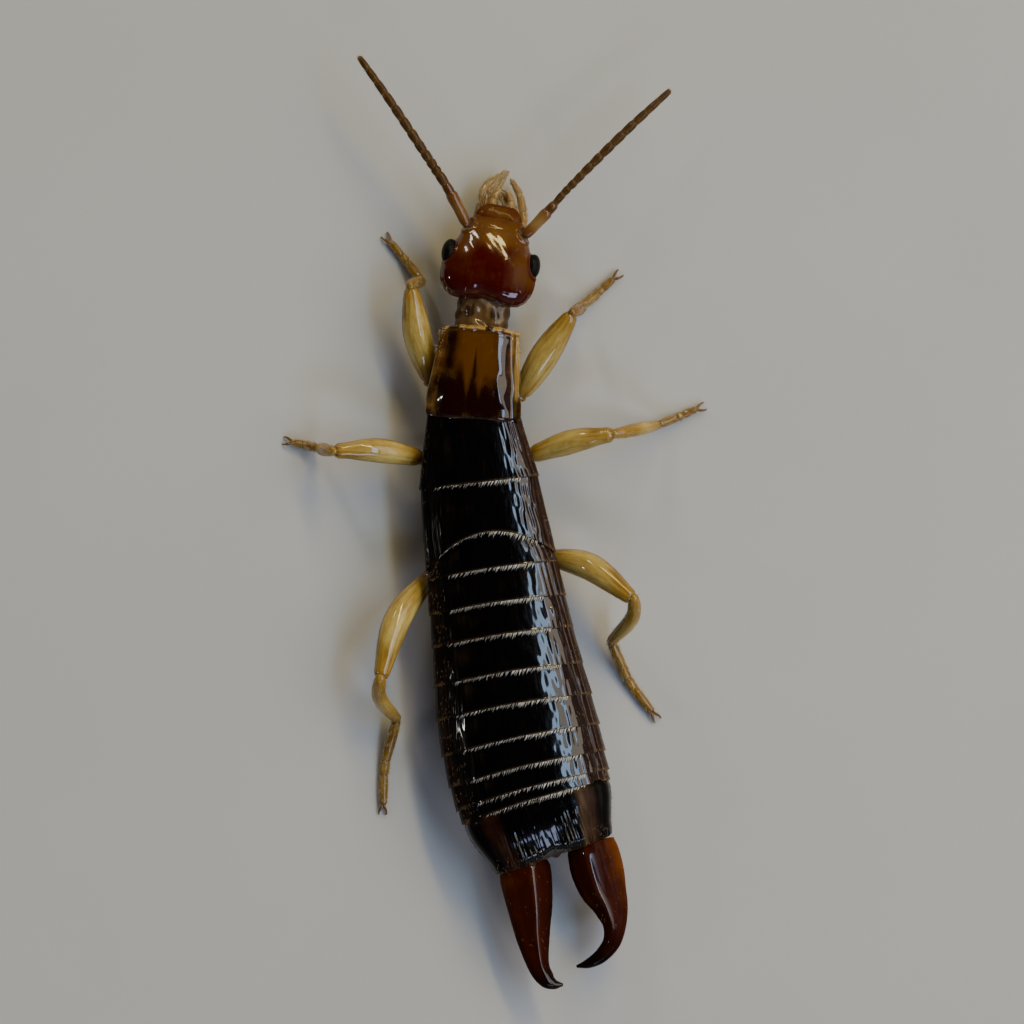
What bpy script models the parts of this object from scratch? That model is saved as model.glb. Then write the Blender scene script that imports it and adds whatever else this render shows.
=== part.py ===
"""A wingless male earwig at life size, standing still on a level floor.

The row frame has +Y towards the head, +X to the animal's right and +Z up, with its origin on the floor
under the middle of the animal. All named sizes are millimetres, and MM turns them into metres where a
mesh is made. The trunk is a run of lofts along a gently bent body axis, the head and the prothorax are
modelled in frames of their own, and every leg, antenna and forceps arm follows its own path.
"""

import math
from collections import namedtuple

import bmesh
import bpy
from mathutils import Vector

MM = 0.001
JOINT_GAP = 0.25
EYE_GAP = 0.12
FLOOR_SLAB = 60.0
MERGE_DISTANCE = 1e-6
# The dome on a limb's end: how far out and how wide each of its rings is, by the radius.
DOME = ((0.50, 0.85), (0.85, 0.45))

# The trunk's middle line on the floor plan, from the pronotum's rear edge to the tail's.
BODY_AXIS = (
    (-0.72, 3.33),
    (-0.50, 1.12),
    (-0.12, -1.41),
    (0.40, -4.74),
    (0.78, -6.82),
    (1.25, -8.74),
    (1.90, -10.62),
)
BODY_SIDES = 28
AXIS_STEPS = 12

HEAD_FRONT = (0.18, 10.16)
HEAD_HEADING = 10.6
HEAD_HEIGHT = 1.62
HEAD_NOD = 6.0
HEAD_LENGTH = 3.18
HEAD_NOTCH = 0.26
HEAD_NOTCH_WIDTH = 0.5
LABRUM_LENGTH = 0.48
MANDIBLE_REACH = 0.12
MANDIBLE_BOTTOM = -0.50
MANDIBLE = ((0.48, LABRUM_LENGTH, -0.28), (0.50, 0.16, -0.28), (0.16, -MANDIBLE_REACH, -0.28))
MANDIBLE_RADII = (0.22, 0.18, 0.07)
MOUTH_STEPS = 4

EYE_PLACE = (1.31, 1.72, 0.14)
EYE_RADII = (0.29, 0.43, 0.40)

NECK_HALF_WIDTHS = (0.86, 0.88, 0.84)
NECK_HALF_HEIGHTS = (0.30, 0.42, 0.54)
NECK_HEIGHT = 1.58
NECK_SIDES = 20
# How far the neck runs from the pronotum's front edge towards the front of the head.
NECK_REACH = (0.30, 0.12, -0.12)
NECK_STEPS = 3

PRONOTUM_FRONT = (-0.48, 6.30)
PRONOTUM_HEADING = 4.6
PRONOTUM_LENGTH = 2.97

PLATE_EDGE_HEIGHT = 2.02
PLATE_THICKNESS = 0.5
STERNUM_HEIGHT = 0.72

MESONOTUM_REAR = 2.03
METANOTUM_REAR = 3.45
METANOTUM_ARCH = 0.97
ARCH_REACH = 2.1

# Where each tergite ends along the body axis, its half width there, and the heights of its back, of its
# side edge and of the belly under it. The hind hips take the room under the first rings.
Tergite = namedtuple("Tergite", "rear half_width top side bottom")
TERGITES = (
    Tergite(4.81, 2.16, 2.50, 1.96, 1.22),
    Tergite(5.91, 2.22, 2.62, 1.88, 0.86),
    Tergite(6.95, 2.30, 2.74, 1.80, 0.60),
    Tergite(8.15, 2.42, 2.86, 1.72, 0.48),
    Tergite(9.19, 2.54, 2.92, 1.68, 0.46),
    Tergite(10.26, 2.59, 2.92, 1.66, 0.46),
    Tergite(11.20, 2.59, 2.86, 1.66, 0.50),
    Tergite(11.90, 2.54, 2.78, 1.66, 0.58),
    Tergite(12.24, 2.48, 2.72, 1.66, 0.64),
)
PLATE_STEP = 0.10
PLATE_STEP_LENGTH = 0.08
TAIL_LENGTH = 1.99
TAIL_REAR = (1.94, 2.12, 1.02)
PYGIDIUM = ((1.80, -10.10, 1.16), (1.88, -10.40, 1.14), (1.96, -10.66, 1.10))
PYGIDIUM_RADII = (0.30, 0.29, 0.22)

# Each forceps arm: centre on the plan, height of the centre, half width and half height.
ArmStation = namedtuple("ArmStation", "x y z half_width half_height")
FORCEPS = {
    "left": (
        ArmStation(0.92, -10.85, 1.55, 0.80, 0.56),
        ArmStation(0.99, -11.45, 1.52, 0.80, 0.54),
        ArmStation(1.10, -12.29, 1.46, 0.70, 0.46),
        ArmStation(1.19, -13.20, 1.40, 0.53, 0.38),
        ArmStation(1.36, -14.12, 1.34, 0.37, 0.31),
        ArmStation(1.60, -14.58, 1.31, 0.30, 0.26),
        ArmStation(1.86, -14.77, 1.29, 0.19, 0.19),
        ArmStation(2.17, -14.79, 1.27, 0.05, 0.06),
    ),
    "right": (
        ArmStation(3.05, -10.20, 1.55, 0.78, 0.56),
        ArmStation(3.22, -10.95, 1.52, 0.82, 0.54),
        ArmStation(3.42, -11.62, 1.47, 0.75, 0.48),
        ArmStation(3.68, -12.25, 1.42, 0.55, 0.41),
        ArmStation(3.81, -12.85, 1.38, 0.38, 0.34),
        ArmStation(3.72, -13.42, 1.34, 0.30, 0.28),
        ArmStation(3.38, -13.86, 1.31, 0.24, 0.22),
        ArmStation(2.99, -14.10, 1.29, 0.17, 0.16),
        ArmStation(2.59, -14.21, 1.27, 0.05, 0.06),
    ),
}

FORCEPS_STEPS = 3
FORCEPS_SIDES = 14

# Each leg's joints in order: hip, end of the trochanter, middle of the femur, knee, ankle, toe joint, toe.
LEG_JOINTS = ("hip", "trochanter", "thigh", "knee", "ankle", "toe_joint", "toe")
LEGS = {
    "front_left": (
        (-1.72, 4.20, 0.95),
        (-2.08, 4.50, 0.98),
        (-2.50, 6.05, 1.50),
        (-2.70, 7.58, 2.00),
        (-2.36, 7.76, 0.45),
        (-2.86, 8.40, 0.21),
        (-3.40, 9.06, 0.20),
    ),
    "front_right": (
        (0.42, 3.95, 0.95),
        (0.78, 4.04, 0.98),
        (1.56, 5.35, 1.50),
        (2.48, 6.72, 2.00),
        (2.80, 6.98, 0.45),
        (3.30, 7.40, 0.21),
        (3.82, 7.87, 0.20),
    ),
    "middle_left": (
        (-1.92, 2.02, 0.92),
        (-2.34, 2.08, 0.98),
        (-3.80, 2.32, 1.75),
        (-5.20, 2.30, 2.15),
        (-5.66, 2.40, 0.45),
        (-6.10, 2.50, 0.21),
        (-6.56, 2.60, 0.20),
    ),
    "middle_right": (
        (0.66, 2.08, 0.92),
        (1.08, 2.16, 0.98),
        (2.50, 2.62, 1.60),
        (3.82, 2.85, 1.95),
        (5.25, 3.16, 0.45),
        (5.90, 3.42, 0.21),
        (6.48, 3.66, 0.20),
    ),
    "hind_left": (
        (-1.64, -1.20, 0.84),
        (-2.12, -1.72, 0.82),
        (-3.14, -3.10, 1.75),
        (-3.68, -5.00, 2.40),
        (-3.14, -6.34, 0.50),
        (-3.55, -7.72, 0.21),
        (-3.62, -9.10, 0.20),
    ),
    "hind_right": (
        (1.16, -0.88, 0.84),
        (1.66, -1.08, 0.82),
        (3.05, -1.42, 1.75),
        (4.42, -2.45, 2.40),
        (3.68, -3.84, 0.50),
        (4.28, -5.06, 0.21),
        (5.06, -6.12, 0.20),
    ),
}
FEMUR_RADII = {"front": 0.47, "middle": 0.40, "hind": 0.45}
TIBIA_RADII = (0.24, 0.27, 0.26)
TARSUS_RADII = (0.25, 0.25, 0.23)
COXA_RADII = (0.40, 0.42, 0.34)
CLAW_RADII = (0.17, 0.13, 0.05)
TIBIA_RISE = 0.14
TIBIA_BOW = {"front": 0.06, "middle": 0.06, "hind": 0.26}
TIBIA_STEPS = 5
FOOT_STEPS = 3
CLAW_LENGTH = 0.34
CLAW_SPREAD = 0.16
CLAW_TIP_HEIGHT = 0.10
CLAW_BOW = 0.05
CLAW_ROOT = 0.10
CLAW_STEPS = 2
CLAW_SIDES = 6
LIMB_SIDES = 10

# Each antenna's path from its socket to its tip. The socket is placed from the head.
ANTENNA_SOCKET = (0.98, 0.80, 0.16)
ANTENNAE = {
    "left": ((-1.48, 10.62, 2.10), (-2.16, 11.66, 2.22), (-3.36, 13.46, 2.42), (-4.36, 14.88, 2.50)),
    "right": ((1.74, 10.02, 1.95), (2.34, 10.70, 1.95), (4.10, 12.46, 1.80), (5.60, 13.85, 1.60)),
}
SCAPE_LENGTH = 0.95
ANTENNA_JOINTS = 15
ANTENNA_RADII = (0.27, 0.25, 0.14)
ANTENNA_SIDES = 8
# How a segment of a feeler swells, by the share of its length.
SEGMENT_PROFILE = ((0.0, 0.84), (0.12, 0.97), (0.78, 1.03), (0.95, 0.94))
SCAPE_PROFILE = ((0.0, 0.82), (0.12, 1.0), (0.75, 1.08), (0.95, 0.9))

# Each palp's path in the head's frame, as the mandible's: across, back from the labrum's front edge, and up.
MAXILLARY_PALPS = {
    "left": (
        (-0.66, 1.10, -0.72),
        (-0.64, 0.36, -0.96),
        (-0.54, -0.36, -1.00),
        (-0.32, -0.90, -0.96),
        (0.00, -1.24, -0.86),
    ),
    "right": (
        (0.72, 1.10, -0.72),
        (0.78, 0.30, -0.96),
        (0.66, -0.24, -1.04),
        (0.48, -0.64, -1.08),
        (0.17, -1.04, -1.14),
    ),
}
MAXILLARY_RADII = (0.21, 0.23, 0.21, 0.14)
LABIAL_PALP = ((0.22, 0.30, -0.42), (0.26, -0.24, -0.46), (0.12, -0.56, -0.50))
LABIAL_RADII = (0.18, 0.17, 0.10)
PALP_SEGMENTS = 4
PALP_STEPS = 6

Finish = namedtuple("Finish", "colour roughness")
FINISHES = {
    "head_shell": Finish((0.20, 0.040, 0.012), 0.22),
    "pronotum_shell": Finish((0.26, 0.090, 0.018), 0.22),
    "dark_shell": Finish((0.020, 0.008, 0.006), 0.20),
    "forceps_shell": Finish((0.085, 0.016, 0.008), 0.18),
    "leg_shell": Finish((0.62, 0.40, 0.10), 0.32),
    "antenna_shell": Finish((0.24, 0.11, 0.045), 0.40),
    "mouth_shell": Finish((0.36, 0.16, 0.05), 0.35),
    "eye": Finish((0.012, 0.010, 0.012), 0.12),
    "membrane": Finish((0.42, 0.30, 0.17), 0.50),
}


def clear_scene():
    for obj in list(bpy.data.objects):
        bpy.data.objects.remove(obj, do_unlink=True)


def new_collection(name):
    collection = bpy.data.collections.new(name)
    bpy.context.scene.collection.children.link(collection)
    return collection


def make_material(name):
    finish = FINISHES[name]
    material = bpy.data.materials.new(name)
    material.use_nodes = True
    shader = material.node_tree.nodes["Principled BSDF"]
    shader.inputs["Base Color"].default_value = (*finish.colour, 1.0)
    shader.inputs["Roughness"].default_value = finish.roughness
    shader.inputs["Metallic"].default_value = 0.0
    return material


def smooth_path(points, steps):
    """Points along a smooth curve through the given ones, with the given number of steps in each span."""
    knots = [Vector(p) for p in points]
    knots = [2 * knots[0] - knots[1], *knots, 2 * knots[-1] - knots[-2]]
    path = []
    for a, b, c, d in zip(knots, knots[1:], knots[2:], knots[3:]):
        for step in range(steps):
            t = step / steps
            bend = (2 * a - 5 * b + 4 * c - d) * t**2 + (3 * b - a - 3 * c + d) * t**3
            path.append(0.5 * (2 * b + (c - a) * t + bend))
    return [*path, knots[-2]]


def resampled(path, distances):
    """Points on a polyline at the given distances from its start, going straight on past either end."""
    lengths = [0.0]
    for near, far in zip(path, path[1:]):
        lengths.append(lengths[-1] + (far - near).length)
    points = []
    for distance in distances:
        span = 0
        while span < len(path) - 2 and lengths[span + 1] < distance:
            span += 1
        share = (distance - lengths[span]) / (lengths[span + 1] - lengths[span])
        points.append(path[span].lerp(path[span + 1], share))
    return points


def path_length(path):
    return sum((far - near).length for near, far in zip(path, path[1:]))


TRUNK_PATH = smooth_path([(x, y, 0) for x, y in BODY_AXIS], AXIS_STEPS)


def bent_axis(along):
    """The point of the body axis at this distance behind the pronotum, and the direction to its right."""
    near, point, far = resampled(TRUNK_PATH, (along - 0.2, along, along + 0.2))
    back = (far - near).normalized()
    return point, Vector((-back.y, back.x, 0))


def straight_axis(along):
    """The axis of a piece modelled in its own frame, with its front edge at the origin."""
    return Vector((0, -along, 0)), Vector((1, 0, 0))


# A cross-section of the trunk: its place along the axis, half width, top and bottom, and the height of the
# widest point. square makes its sides fuller, and arch sets its flanks further back than its middle.
Section = namedtuple("Section", "along half_width top bottom widest square arch", defaults=(None, 0.85, 0.0))


def section_ring(section, axis, notch=0.0):
    """The ring of points round one cross-section, each set back along the axis by the arch or the notch."""
    ring = []
    widest = section.widest
    if widest is None:
        widest = (section.top + section.bottom) / 2
    for side in range(BODY_SIDES):
        angle = 2 * math.pi * side / BODY_SIDES
        across = math.copysign(abs(math.cos(angle)) ** section.square, math.cos(angle))
        rise = abs(math.sin(angle)) ** section.square
        height = widest + rise * (section.top - widest if math.sin(angle) > 0 else section.bottom - widest)
        reach = across * section.half_width
        set_back = section.arch * (reach / ARCH_REACH) ** 2
        drawn_in = notch * math.exp(-((reach / HEAD_NOTCH_WIDTH) ** 2))
        point, right = axis(section.along + set_back - drawn_in)
        ring.append(point + right * reach + Vector((0, 0, height)))
    return ring


def closed_loft(name, rings, material, collection):
    """One closed body through rings of points, each end closed by a fan round its middle."""
    mesh_builder = bmesh.new()
    rows = [[mesh_builder.verts.new(point * MM) for point in ring] for ring in rings]
    for near, far in zip(rows, rows[1:]):
        for corner in range(len(near)):
            after = (corner + 1) % len(near)
            mesh_builder.faces.new((near[corner], near[after], far[after], far[corner]))
    for row in (rows[0], rows[-1]):
        middle = mesh_builder.verts.new(sum((v.co for v in row), Vector()) / len(row))
        for corner in range(len(row)):
            mesh_builder.faces.new((row[corner], row[(corner + 1) % len(row)], middle))
    bmesh.ops.recalc_face_normals(mesh_builder, faces=mesh_builder.faces)
    mesh = bpy.data.meshes.new(name)
    mesh_builder.to_mesh(mesh)
    mesh_builder.free()
    mesh.materials.append(material)
    mesh.shade_smooth()
    obj = bpy.data.objects.new(name, mesh)
    collection.objects.link(obj)
    return obj


def trunk_loft(name, sections, axis, material, collection, notches=None, grow=0.0):
    """A loft through trunk sections. grow makes it fatter all round, for cutting clearances."""
    if grow:
        first, last = sections[0], sections[-1]
        inner = [
            section._replace(
                half_width=section.half_width + grow, top=section.top + grow, bottom=section.bottom - grow
            )
            for section in sections
        ]
        front = inner[0]._replace(along=first.along - grow)
        rear = inner[-1]._replace(along=last.along + grow)
        sections = [front, *inner, rear]
        notches = [notches[0], *notches, notches[-1]] if notches else None
    notches = notches or [0.0] * len(sections)
    rings = [section_ring(section, axis, notch) for section, notch in zip(sections, notches)]
    return closed_loft(name, rings, material, collection)


def rounded_ends(path, radii):
    """The path and radii of a tube with a dome added at each end."""
    before = (path[0] - path[1]).normalized() * radii[0]
    after = (path[-1] - path[-2]).normalized() * radii[-1]
    front = [(path[0] + before * reach, radii[0] * share) for reach, share in reversed(DOME)]
    rear = [(path[-1] + after * reach, radii[-1] * share) for reach, share in DOME]
    stations = [*front, *zip(path, radii), *rear]
    return [place for place, _ in stations], [radius for _, radius in stations]


def tube(name, path, radii, sides, material, collection):
    """A round limb along a path, as thick at each of the path's points as the radii say."""
    curve = bpy.data.curves.new(name, "CURVE")
    curve.dimensions = "3D"
    curve.bevel_depth = MM
    curve.bevel_resolution = (sides - 4) // 2
    curve.use_fill_caps = True
    spline = curve.splines.new("POLY")
    spline.points.add(len(path) - 1)
    for point, place, radius in zip(spline.points, path, radii):
        point.co = (*(place * MM), 1.0)
        point.radius = radius
    guide = bpy.data.objects.new(name, curve)
    collection.objects.link(guide)
    bpy.context.view_layer.update()
    mesh = bpy.data.meshes.new_from_object(guide.evaluated_get(bpy.context.evaluated_depsgraph_get()))
    bpy.data.objects.remove(guide, do_unlink=True)
    mesh_builder = bmesh.new()
    mesh_builder.from_mesh(mesh)
    bmesh.ops.remove_doubles(mesh_builder, verts=mesh_builder.verts, dist=MERGE_DISTANCE)
    bmesh.ops.recalc_face_normals(mesh_builder, faces=mesh_builder.faces)
    mesh_builder.to_mesh(mesh)
    mesh_builder.free()
    mesh.materials.clear()
    mesh.materials.append(material)
    mesh.shade_smooth()
    obj = bpy.data.objects.new(name, mesh)
    collection.objects.link(obj)
    return obj


def flatten(obj, path, shares):
    """Squashes a tube towards its path's height, by one share for each point of the path."""
    for vertex in obj.data.vertices:
        nearest = min(range(len(path)), key=lambda i: (vertex.co.xy / MM - path[i].xy).length)
        middle = path[nearest].z * MM
        vertex.co.z = middle + (vertex.co.z - middle) * shares[nearest]


def apply_boolean(obj, other, operation):
    """Joins or cuts obj with another object or with a whole collection, then applies it."""
    modifier = obj.modifiers.new(operation.lower(), "BOOLEAN")
    modifier.operation = operation
    modifier.solver = "EXACT"
    if isinstance(other, bpy.types.Collection):
        modifier.operand_type = "COLLECTION"
        modifier.collection = other
    else:
        modifier.object = other
    bpy.context.view_layer.update()
    graph = bpy.context.evaluated_depsgraph_get()
    solid = bpy.data.meshes.new_from_object(obj.evaluated_get(graph))
    obj.modifiers.clear()
    obj.data = solid


def keep_largest_body(obj):
    """Drops every closed surface of the object but the largest."""
    mesh_builder = bmesh.new()
    mesh_builder.from_mesh(obj.data)
    bmesh.ops.remove_doubles(mesh_builder, verts=mesh_builder.verts, dist=MERGE_DISTANCE)
    unseen = set(mesh_builder.faces)
    bodies = []
    while unseen:
        front = [unseen.pop()]
        body = set(front)
        while front:
            for edge in front.pop().edges:
                for face in edge.link_faces:
                    if len(edge.link_faces) == 2 and face in unseen:
                        unseen.remove(face)
                        body.add(face)
                        front.append(face)
        bodies.append(body)
    largest = max(bodies, key=len)
    scraps = [face for face in mesh_builder.faces if face not in largest]
    bmesh.ops.delete(mesh_builder, geom=scraps, context="FACES")
    mesh_builder.to_mesh(obj.data)
    mesh_builder.free()
    obj.data.shade_smooth()


def fuse(pieces):
    """One Boolean union of closed pieces into the first of them."""
    whole, *others = pieces
    collection = new_collection("joining")
    for other in others:
        for home in list(other.users_collection):
            home.objects.unlink(other)
        collection.objects.link(other)
    apply_boolean(whole, collection, "UNION")
    for other in others:
        bpy.data.objects.remove(other, do_unlink=True)
    bpy.data.collections.remove(collection)
    keep_largest_body(whole)
    return whole


def cut_clear(obj, cutters):
    """Cuts the object back from grown copies of what it grows from."""
    for cutter in cutters:
        apply_boolean(obj, cutter, "DIFFERENCE")
    keep_largest_body(obj)


def make_floor_cutter(collection):
    """A slab below floor level, which gives the feet their flats."""
    mesh_builder = bmesh.new()
    bmesh.ops.create_cube(mesh_builder, size=FLOOR_SLAB * MM)
    bmesh.ops.translate(mesh_builder, vec=(0, 0, -FLOOR_SLAB * MM / 2), verts=mesh_builder.verts)
    mesh = bpy.data.meshes.new("floor_cutter")
    mesh_builder.to_mesh(mesh)
    mesh_builder.free()
    slab = bpy.data.objects.new("floor_cutter", mesh)
    collection.objects.link(slab)
    return as_cutter(slab)


def as_cutter(obj):
    obj.hide_render = True
    obj.display_type = "WIRE"
    return obj


def frame_empty(name, place, height, heading, nod, collection):
    """The frame that a rigid piece is modelled in: front edge at the origin, +Y forward."""
    empty = bpy.data.objects.new(name, None)
    empty.location = Vector((*place, height)) * MM
    empty.rotation_euler = (math.radians(-nod), 0, math.radians(-heading))
    collection.objects.link(empty)
    bpy.context.view_layer.update()
    return empty


def head_sections():
    """The head capsule from the clypeus to the occiput, in the head's frame."""
    start = LABRUM_LENGTH + JOINT_GAP
    return [
        Section(start, 0.86, 0.24, -0.36),
        Section(start + 0.06, 0.95, 0.32, -0.42),
        Section(1.05, 1.09, 0.46, -0.52),
        Section(1.35, 1.21, 0.58, -0.60),
        Section(1.70, 1.38, 0.68, -0.66),
        Section(2.10, 1.51, 0.74, -0.70),
        Section(2.50, 1.53, 0.72, -0.70),
        Section(2.82, 1.43, 0.62, -0.62),
        Section(3.05, 1.22, 0.46, -0.48),
        Section(HEAD_LENGTH - 0.03, 1.02, 0.32, -0.36),
        Section(HEAD_LENGTH, 0.90, 0.24, -0.28),
    ]


def head_notches():
    """How far each head section's middle is drawn forward, for the notch between the rear lobes."""
    reach = (2.0, HEAD_LENGTH)
    return [
        HEAD_NOTCH * min(1.0, max(0.0, (s.along - reach[0]) / (reach[1] - reach[0]))) for s in head_sections()
    ]


def make_head(frame, material, collection):
    head = trunk_loft("head", head_sections(), straight_axis, material, collection, head_notches())
    head.parent = frame
    return head


def ellipsoid(name, centre, radii, material, collection):
    mesh_builder = bmesh.new()
    bmesh.ops.create_uvsphere(mesh_builder, u_segments=16, v_segments=10, radius=MM)
    bmesh.ops.scale(mesh_builder, vec=Vector(radii), verts=mesh_builder.verts)
    bmesh.ops.translate(mesh_builder, vec=Vector(centre) * MM, verts=mesh_builder.verts)
    mesh = bpy.data.meshes.new(name)
    mesh_builder.to_mesh(mesh)
    mesh_builder.free()
    mesh.materials.append(material)
    mesh.shade_smooth()
    obj = bpy.data.objects.new(name, mesh)
    collection.objects.link(obj)
    return obj


def make_eyes(head, frame, material, parts, cutters):
    """Each compound eye sits in a socket that follows it, cut into the side of the head."""
    across, back, up = EYE_PLACE
    for side, hand in (("left", -1), ("right", 1)):
        centre = (hand * across, -back, up)
        eye = ellipsoid(f"eye_{side}", centre, EYE_RADII, material, parts)
        socket_radii = [radius + EYE_GAP for radius in EYE_RADII]
        socket = as_cutter(ellipsoid(f"socket_{side}", centre, socket_radii, material, cutters))
        eye.parent = frame
        socket.parent = frame
        cut_clear(head, [socket])
        bpy.data.objects.remove(socket, do_unlink=True)


def make_mouthparts(frame, material, collection):
    """The labrum with the two closed mandibles under it, as one node in front of the head."""
    labrum_sections = [
        Section(0.0, 0.44, -0.02, -0.20),
        Section(0.08, 0.58, 0.06, -0.24),
        Section(0.28, 0.70, 0.14, -0.28),
        Section(LABRUM_LENGTH, 0.78, 0.22, -0.32),
    ]
    pieces = [trunk_loft("mouthparts", labrum_sections, straight_axis, material, collection)]
    for hand in (-1, 1):
        for name, route, radii in (
            ("mandible", MANDIBLE, MANDIBLE_RADII),
            ("labial_palp", LABIAL_PALP, LABIAL_RADII),
        ):
            path = smooth_path([(hand * across, -back, up) for across, back, up in route], MOUTH_STEPS)
            pieces.append(tube(name, path, spread(radii, len(path)), ANTENNA_SIDES, material, collection))
    mouth = fuse(pieces)
    mouth.parent = frame


def in_frame(frame, point):
    """A point of a frame, given in millimetres there, in millimetres of the row frame."""
    return (frame.matrix_world @ (Vector(point) * MM)) / MM


def make_palps(frame, head_cutter, mouth_clearance, material, collection):
    """The jointed maxillary palps, which curve in before the mouth."""
    for side, route in MAXILLARY_PALPS.items():
        path = smooth_path([(across, -back, up) for across, back, up in route], PALP_STEPS)
        places, radii = jointed_stations(path_length(path), MAXILLARY_RADII, PALP_SEGMENTS)
        palp = tube(f"palp_{side}", resampled(path, places), radii, ANTENNA_SIDES, material, collection)
        palp.parent = frame
        cut_clear(palp, [head_cutter, mouth_clearance])


def jointed_stations(total, radii, segments, start=0.0):
    """Places along a jointed feeler and its radii there: each segment swells from a pinched joint."""
    places, thicknesses = [], []
    length = (total - start) / segments
    for segment in range(segments):
        for share, swelling in SEGMENT_PROFILE:
            place = start + (segment + share) * length
            places.append(place)
            thicknesses.append(swelling * radius_at(radii, place / total))
    return [*places, total], [*thicknesses, 0.75 * radii[-1]]


def spread(values, count):
    """The values drawn out evenly over this many stations."""
    return [radius_at(values, i / (count - 1)) for i in range(count)]


def radius_at(radii, share):
    """The radius at this share of the length, between evenly spaced ones."""
    place = min(share, 1.0) * (len(radii) - 1)
    index = min(int(place), len(radii) - 2)
    return radii[index] + (radii[index + 1] - radii[index]) * (place - index)


def make_antennae(head_frame, head_cutter, material, collection):
    """Each antenna leaves its socket before the eye: a stout scape, then a chain of short segments."""
    across, back, up = ANTENNA_SOCKET
    for side, hand in (("left", -1), ("right", 1)):
        socket = in_frame(head_frame, (hand * across * 0.8, -back - 0.25, up))
        path = smooth_path([socket, *ANTENNAE[side]], AXIS_STEPS)
        places = [share * SCAPE_LENGTH for share, _ in SCAPE_PROFILE]
        radii = [swelling * ANTENNA_RADII[0] for _, swelling in SCAPE_PROFILE]
        chain = jointed_stations(path_length(path), ANTENNA_RADII, ANTENNA_JOINTS, SCAPE_LENGTH)
        stations = resampled(path, places + chain[0])
        antenna = tube(f"antenna_{side}", stations, radii + chain[1], ANTENNA_SIDES, material, collection)
        cut_clear(antenna, [head_cutter])


def plate_section(along, half_width, top, arch=0.0):
    """A section of a flat back plate with thin overhanging edges."""
    return Section(
        along,
        half_width,
        top,
        PLATE_EDGE_HEIGHT - PLATE_THICKNESS / 2,
        PLATE_EDGE_HEIGHT,
        0.75,
        arch,
    )


def chest_section(along, half_width, top, arch=0.0):
    """A section of the body under a back plate."""
    return Section(along, half_width, top, STERNUM_HEIGHT, None, 0.8, arch)


def prothorax_sections():
    length = PRONOTUM_LENGTH
    plate = [
        plate_section(0.0, 1.20, 2.22),
        plate_section(0.10, 1.27, 2.36),
        plate_section(0.9, 1.34, 2.46),
        plate_section(1.8, 1.48, 2.48),
        plate_section(length - 0.25, 1.56, 2.44),
        plate_section(length - 0.04, 1.50, 2.34),
        plate_section(length, 1.40, 2.24),
    ]
    chest = [
        chest_section(0.12, 0.66, 2.0),
        chest_section(0.30, 0.80, 2.1),
        chest_section(1.5, 1.00, 2.1),
        chest_section(length - 0.35, 1.12, 2.1),
        chest_section(length - 0.10, 1.00, 2.0),
    ]
    return plate, chest


def mesothorax_sections():
    plate = [
        plate_section(JOINT_GAP, 1.50, 2.26),
        plate_section(JOINT_GAP + 0.06, 1.60, 2.36),
        plate_section(0.9, 1.74, 2.46),
        plate_section(1.5, 1.88, 2.48),
        plate_section(MESONOTUM_REAR - 0.04, 1.94, 2.48),
        plate_section(MESONOTUM_REAR, 1.88, 2.40),
    ]
    chest = [
        chest_section(JOINT_GAP + 0.04, 1.08, 2.1),
        chest_section(1.0, 1.30, 2.1),
        chest_section(MESONOTUM_REAR - 0.06, 1.40, 2.1),
    ]
    return plate, chest


def metathorax_sections():
    front = MESONOTUM_REAR + JOINT_GAP
    arch = METANOTUM_ARCH
    plate = [
        plate_section(front, 1.92, 2.40),
        plate_section(front + 0.06, 1.98, 2.46),
        plate_section(2.9, 2.08, 2.50, 0.3 * arch),
        plate_section(METANOTUM_REAR - 0.06, 2.12, 2.50, arch),
        plate_section(METANOTUM_REAR, 2.06, 2.42, arch),
    ]
    chest = [
        chest_section(front + 0.04, 1.40, 2.1),
        chest_section(2.9, 1.52, 2.1, 0.3 * arch),
        chest_section(METANOTUM_REAR - 0.04, 1.60, 2.1, arch),
    ]
    return plate, chest


def abdomen_sections():
    """Tergites and sternites one to nine, each raised over the front of the next like roof tiles."""
    front = METANOTUM_REAR + JOINT_GAP
    sections = [
        Section(front, 1.92, 2.30, 1.48, 2.00, 0.8, METANOTUM_ARCH),
        Section(front + 0.06, 2.04, 2.38, 1.36, 1.98, 0.8, METANOTUM_ARCH * 0.95),
    ]
    for tergite in TERGITES:
        rear = Section(tergite.rear, tergite.half_width, tergite.top, tergite.bottom, tergite.side, 0.8)
        sections.append(rear)
        if tergite is not TERGITES[-1]:
            sections.append(
                rear._replace(
                    along=rear.along + PLATE_STEP_LENGTH,
                    half_width=rear.half_width - PLATE_STEP,
                    top=rear.top - PLATE_STEP,
                    bottom=rear.bottom + PLATE_STEP,
                )
            )
    return sections


def tail_sections():
    """The large last tergite, which carries the forceps."""
    start = TERGITES[-1]
    front = start.rear + JOINT_GAP
    rear = start.rear + TAIL_LENGTH
    half_width, top, bottom = TAIL_REAR
    return [
        Section(front, start.half_width - 0.10, start.top - 0.10, start.bottom + 0.10, None, 0.8),
        Section(front + 0.08, start.half_width - 0.04, start.top - 0.04, start.bottom + 0.05, None, 0.8),
        Section(rear - 0.9, 2.26, 2.52, 0.76, None, 0.8),
        Section(rear - 0.2, half_width + 0.04, top + 0.08, bottom - 0.06, None, 0.75),
        Section(rear, half_width - 0.06, top - 0.06, bottom + 0.06, None, 0.75),
    ]


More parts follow.
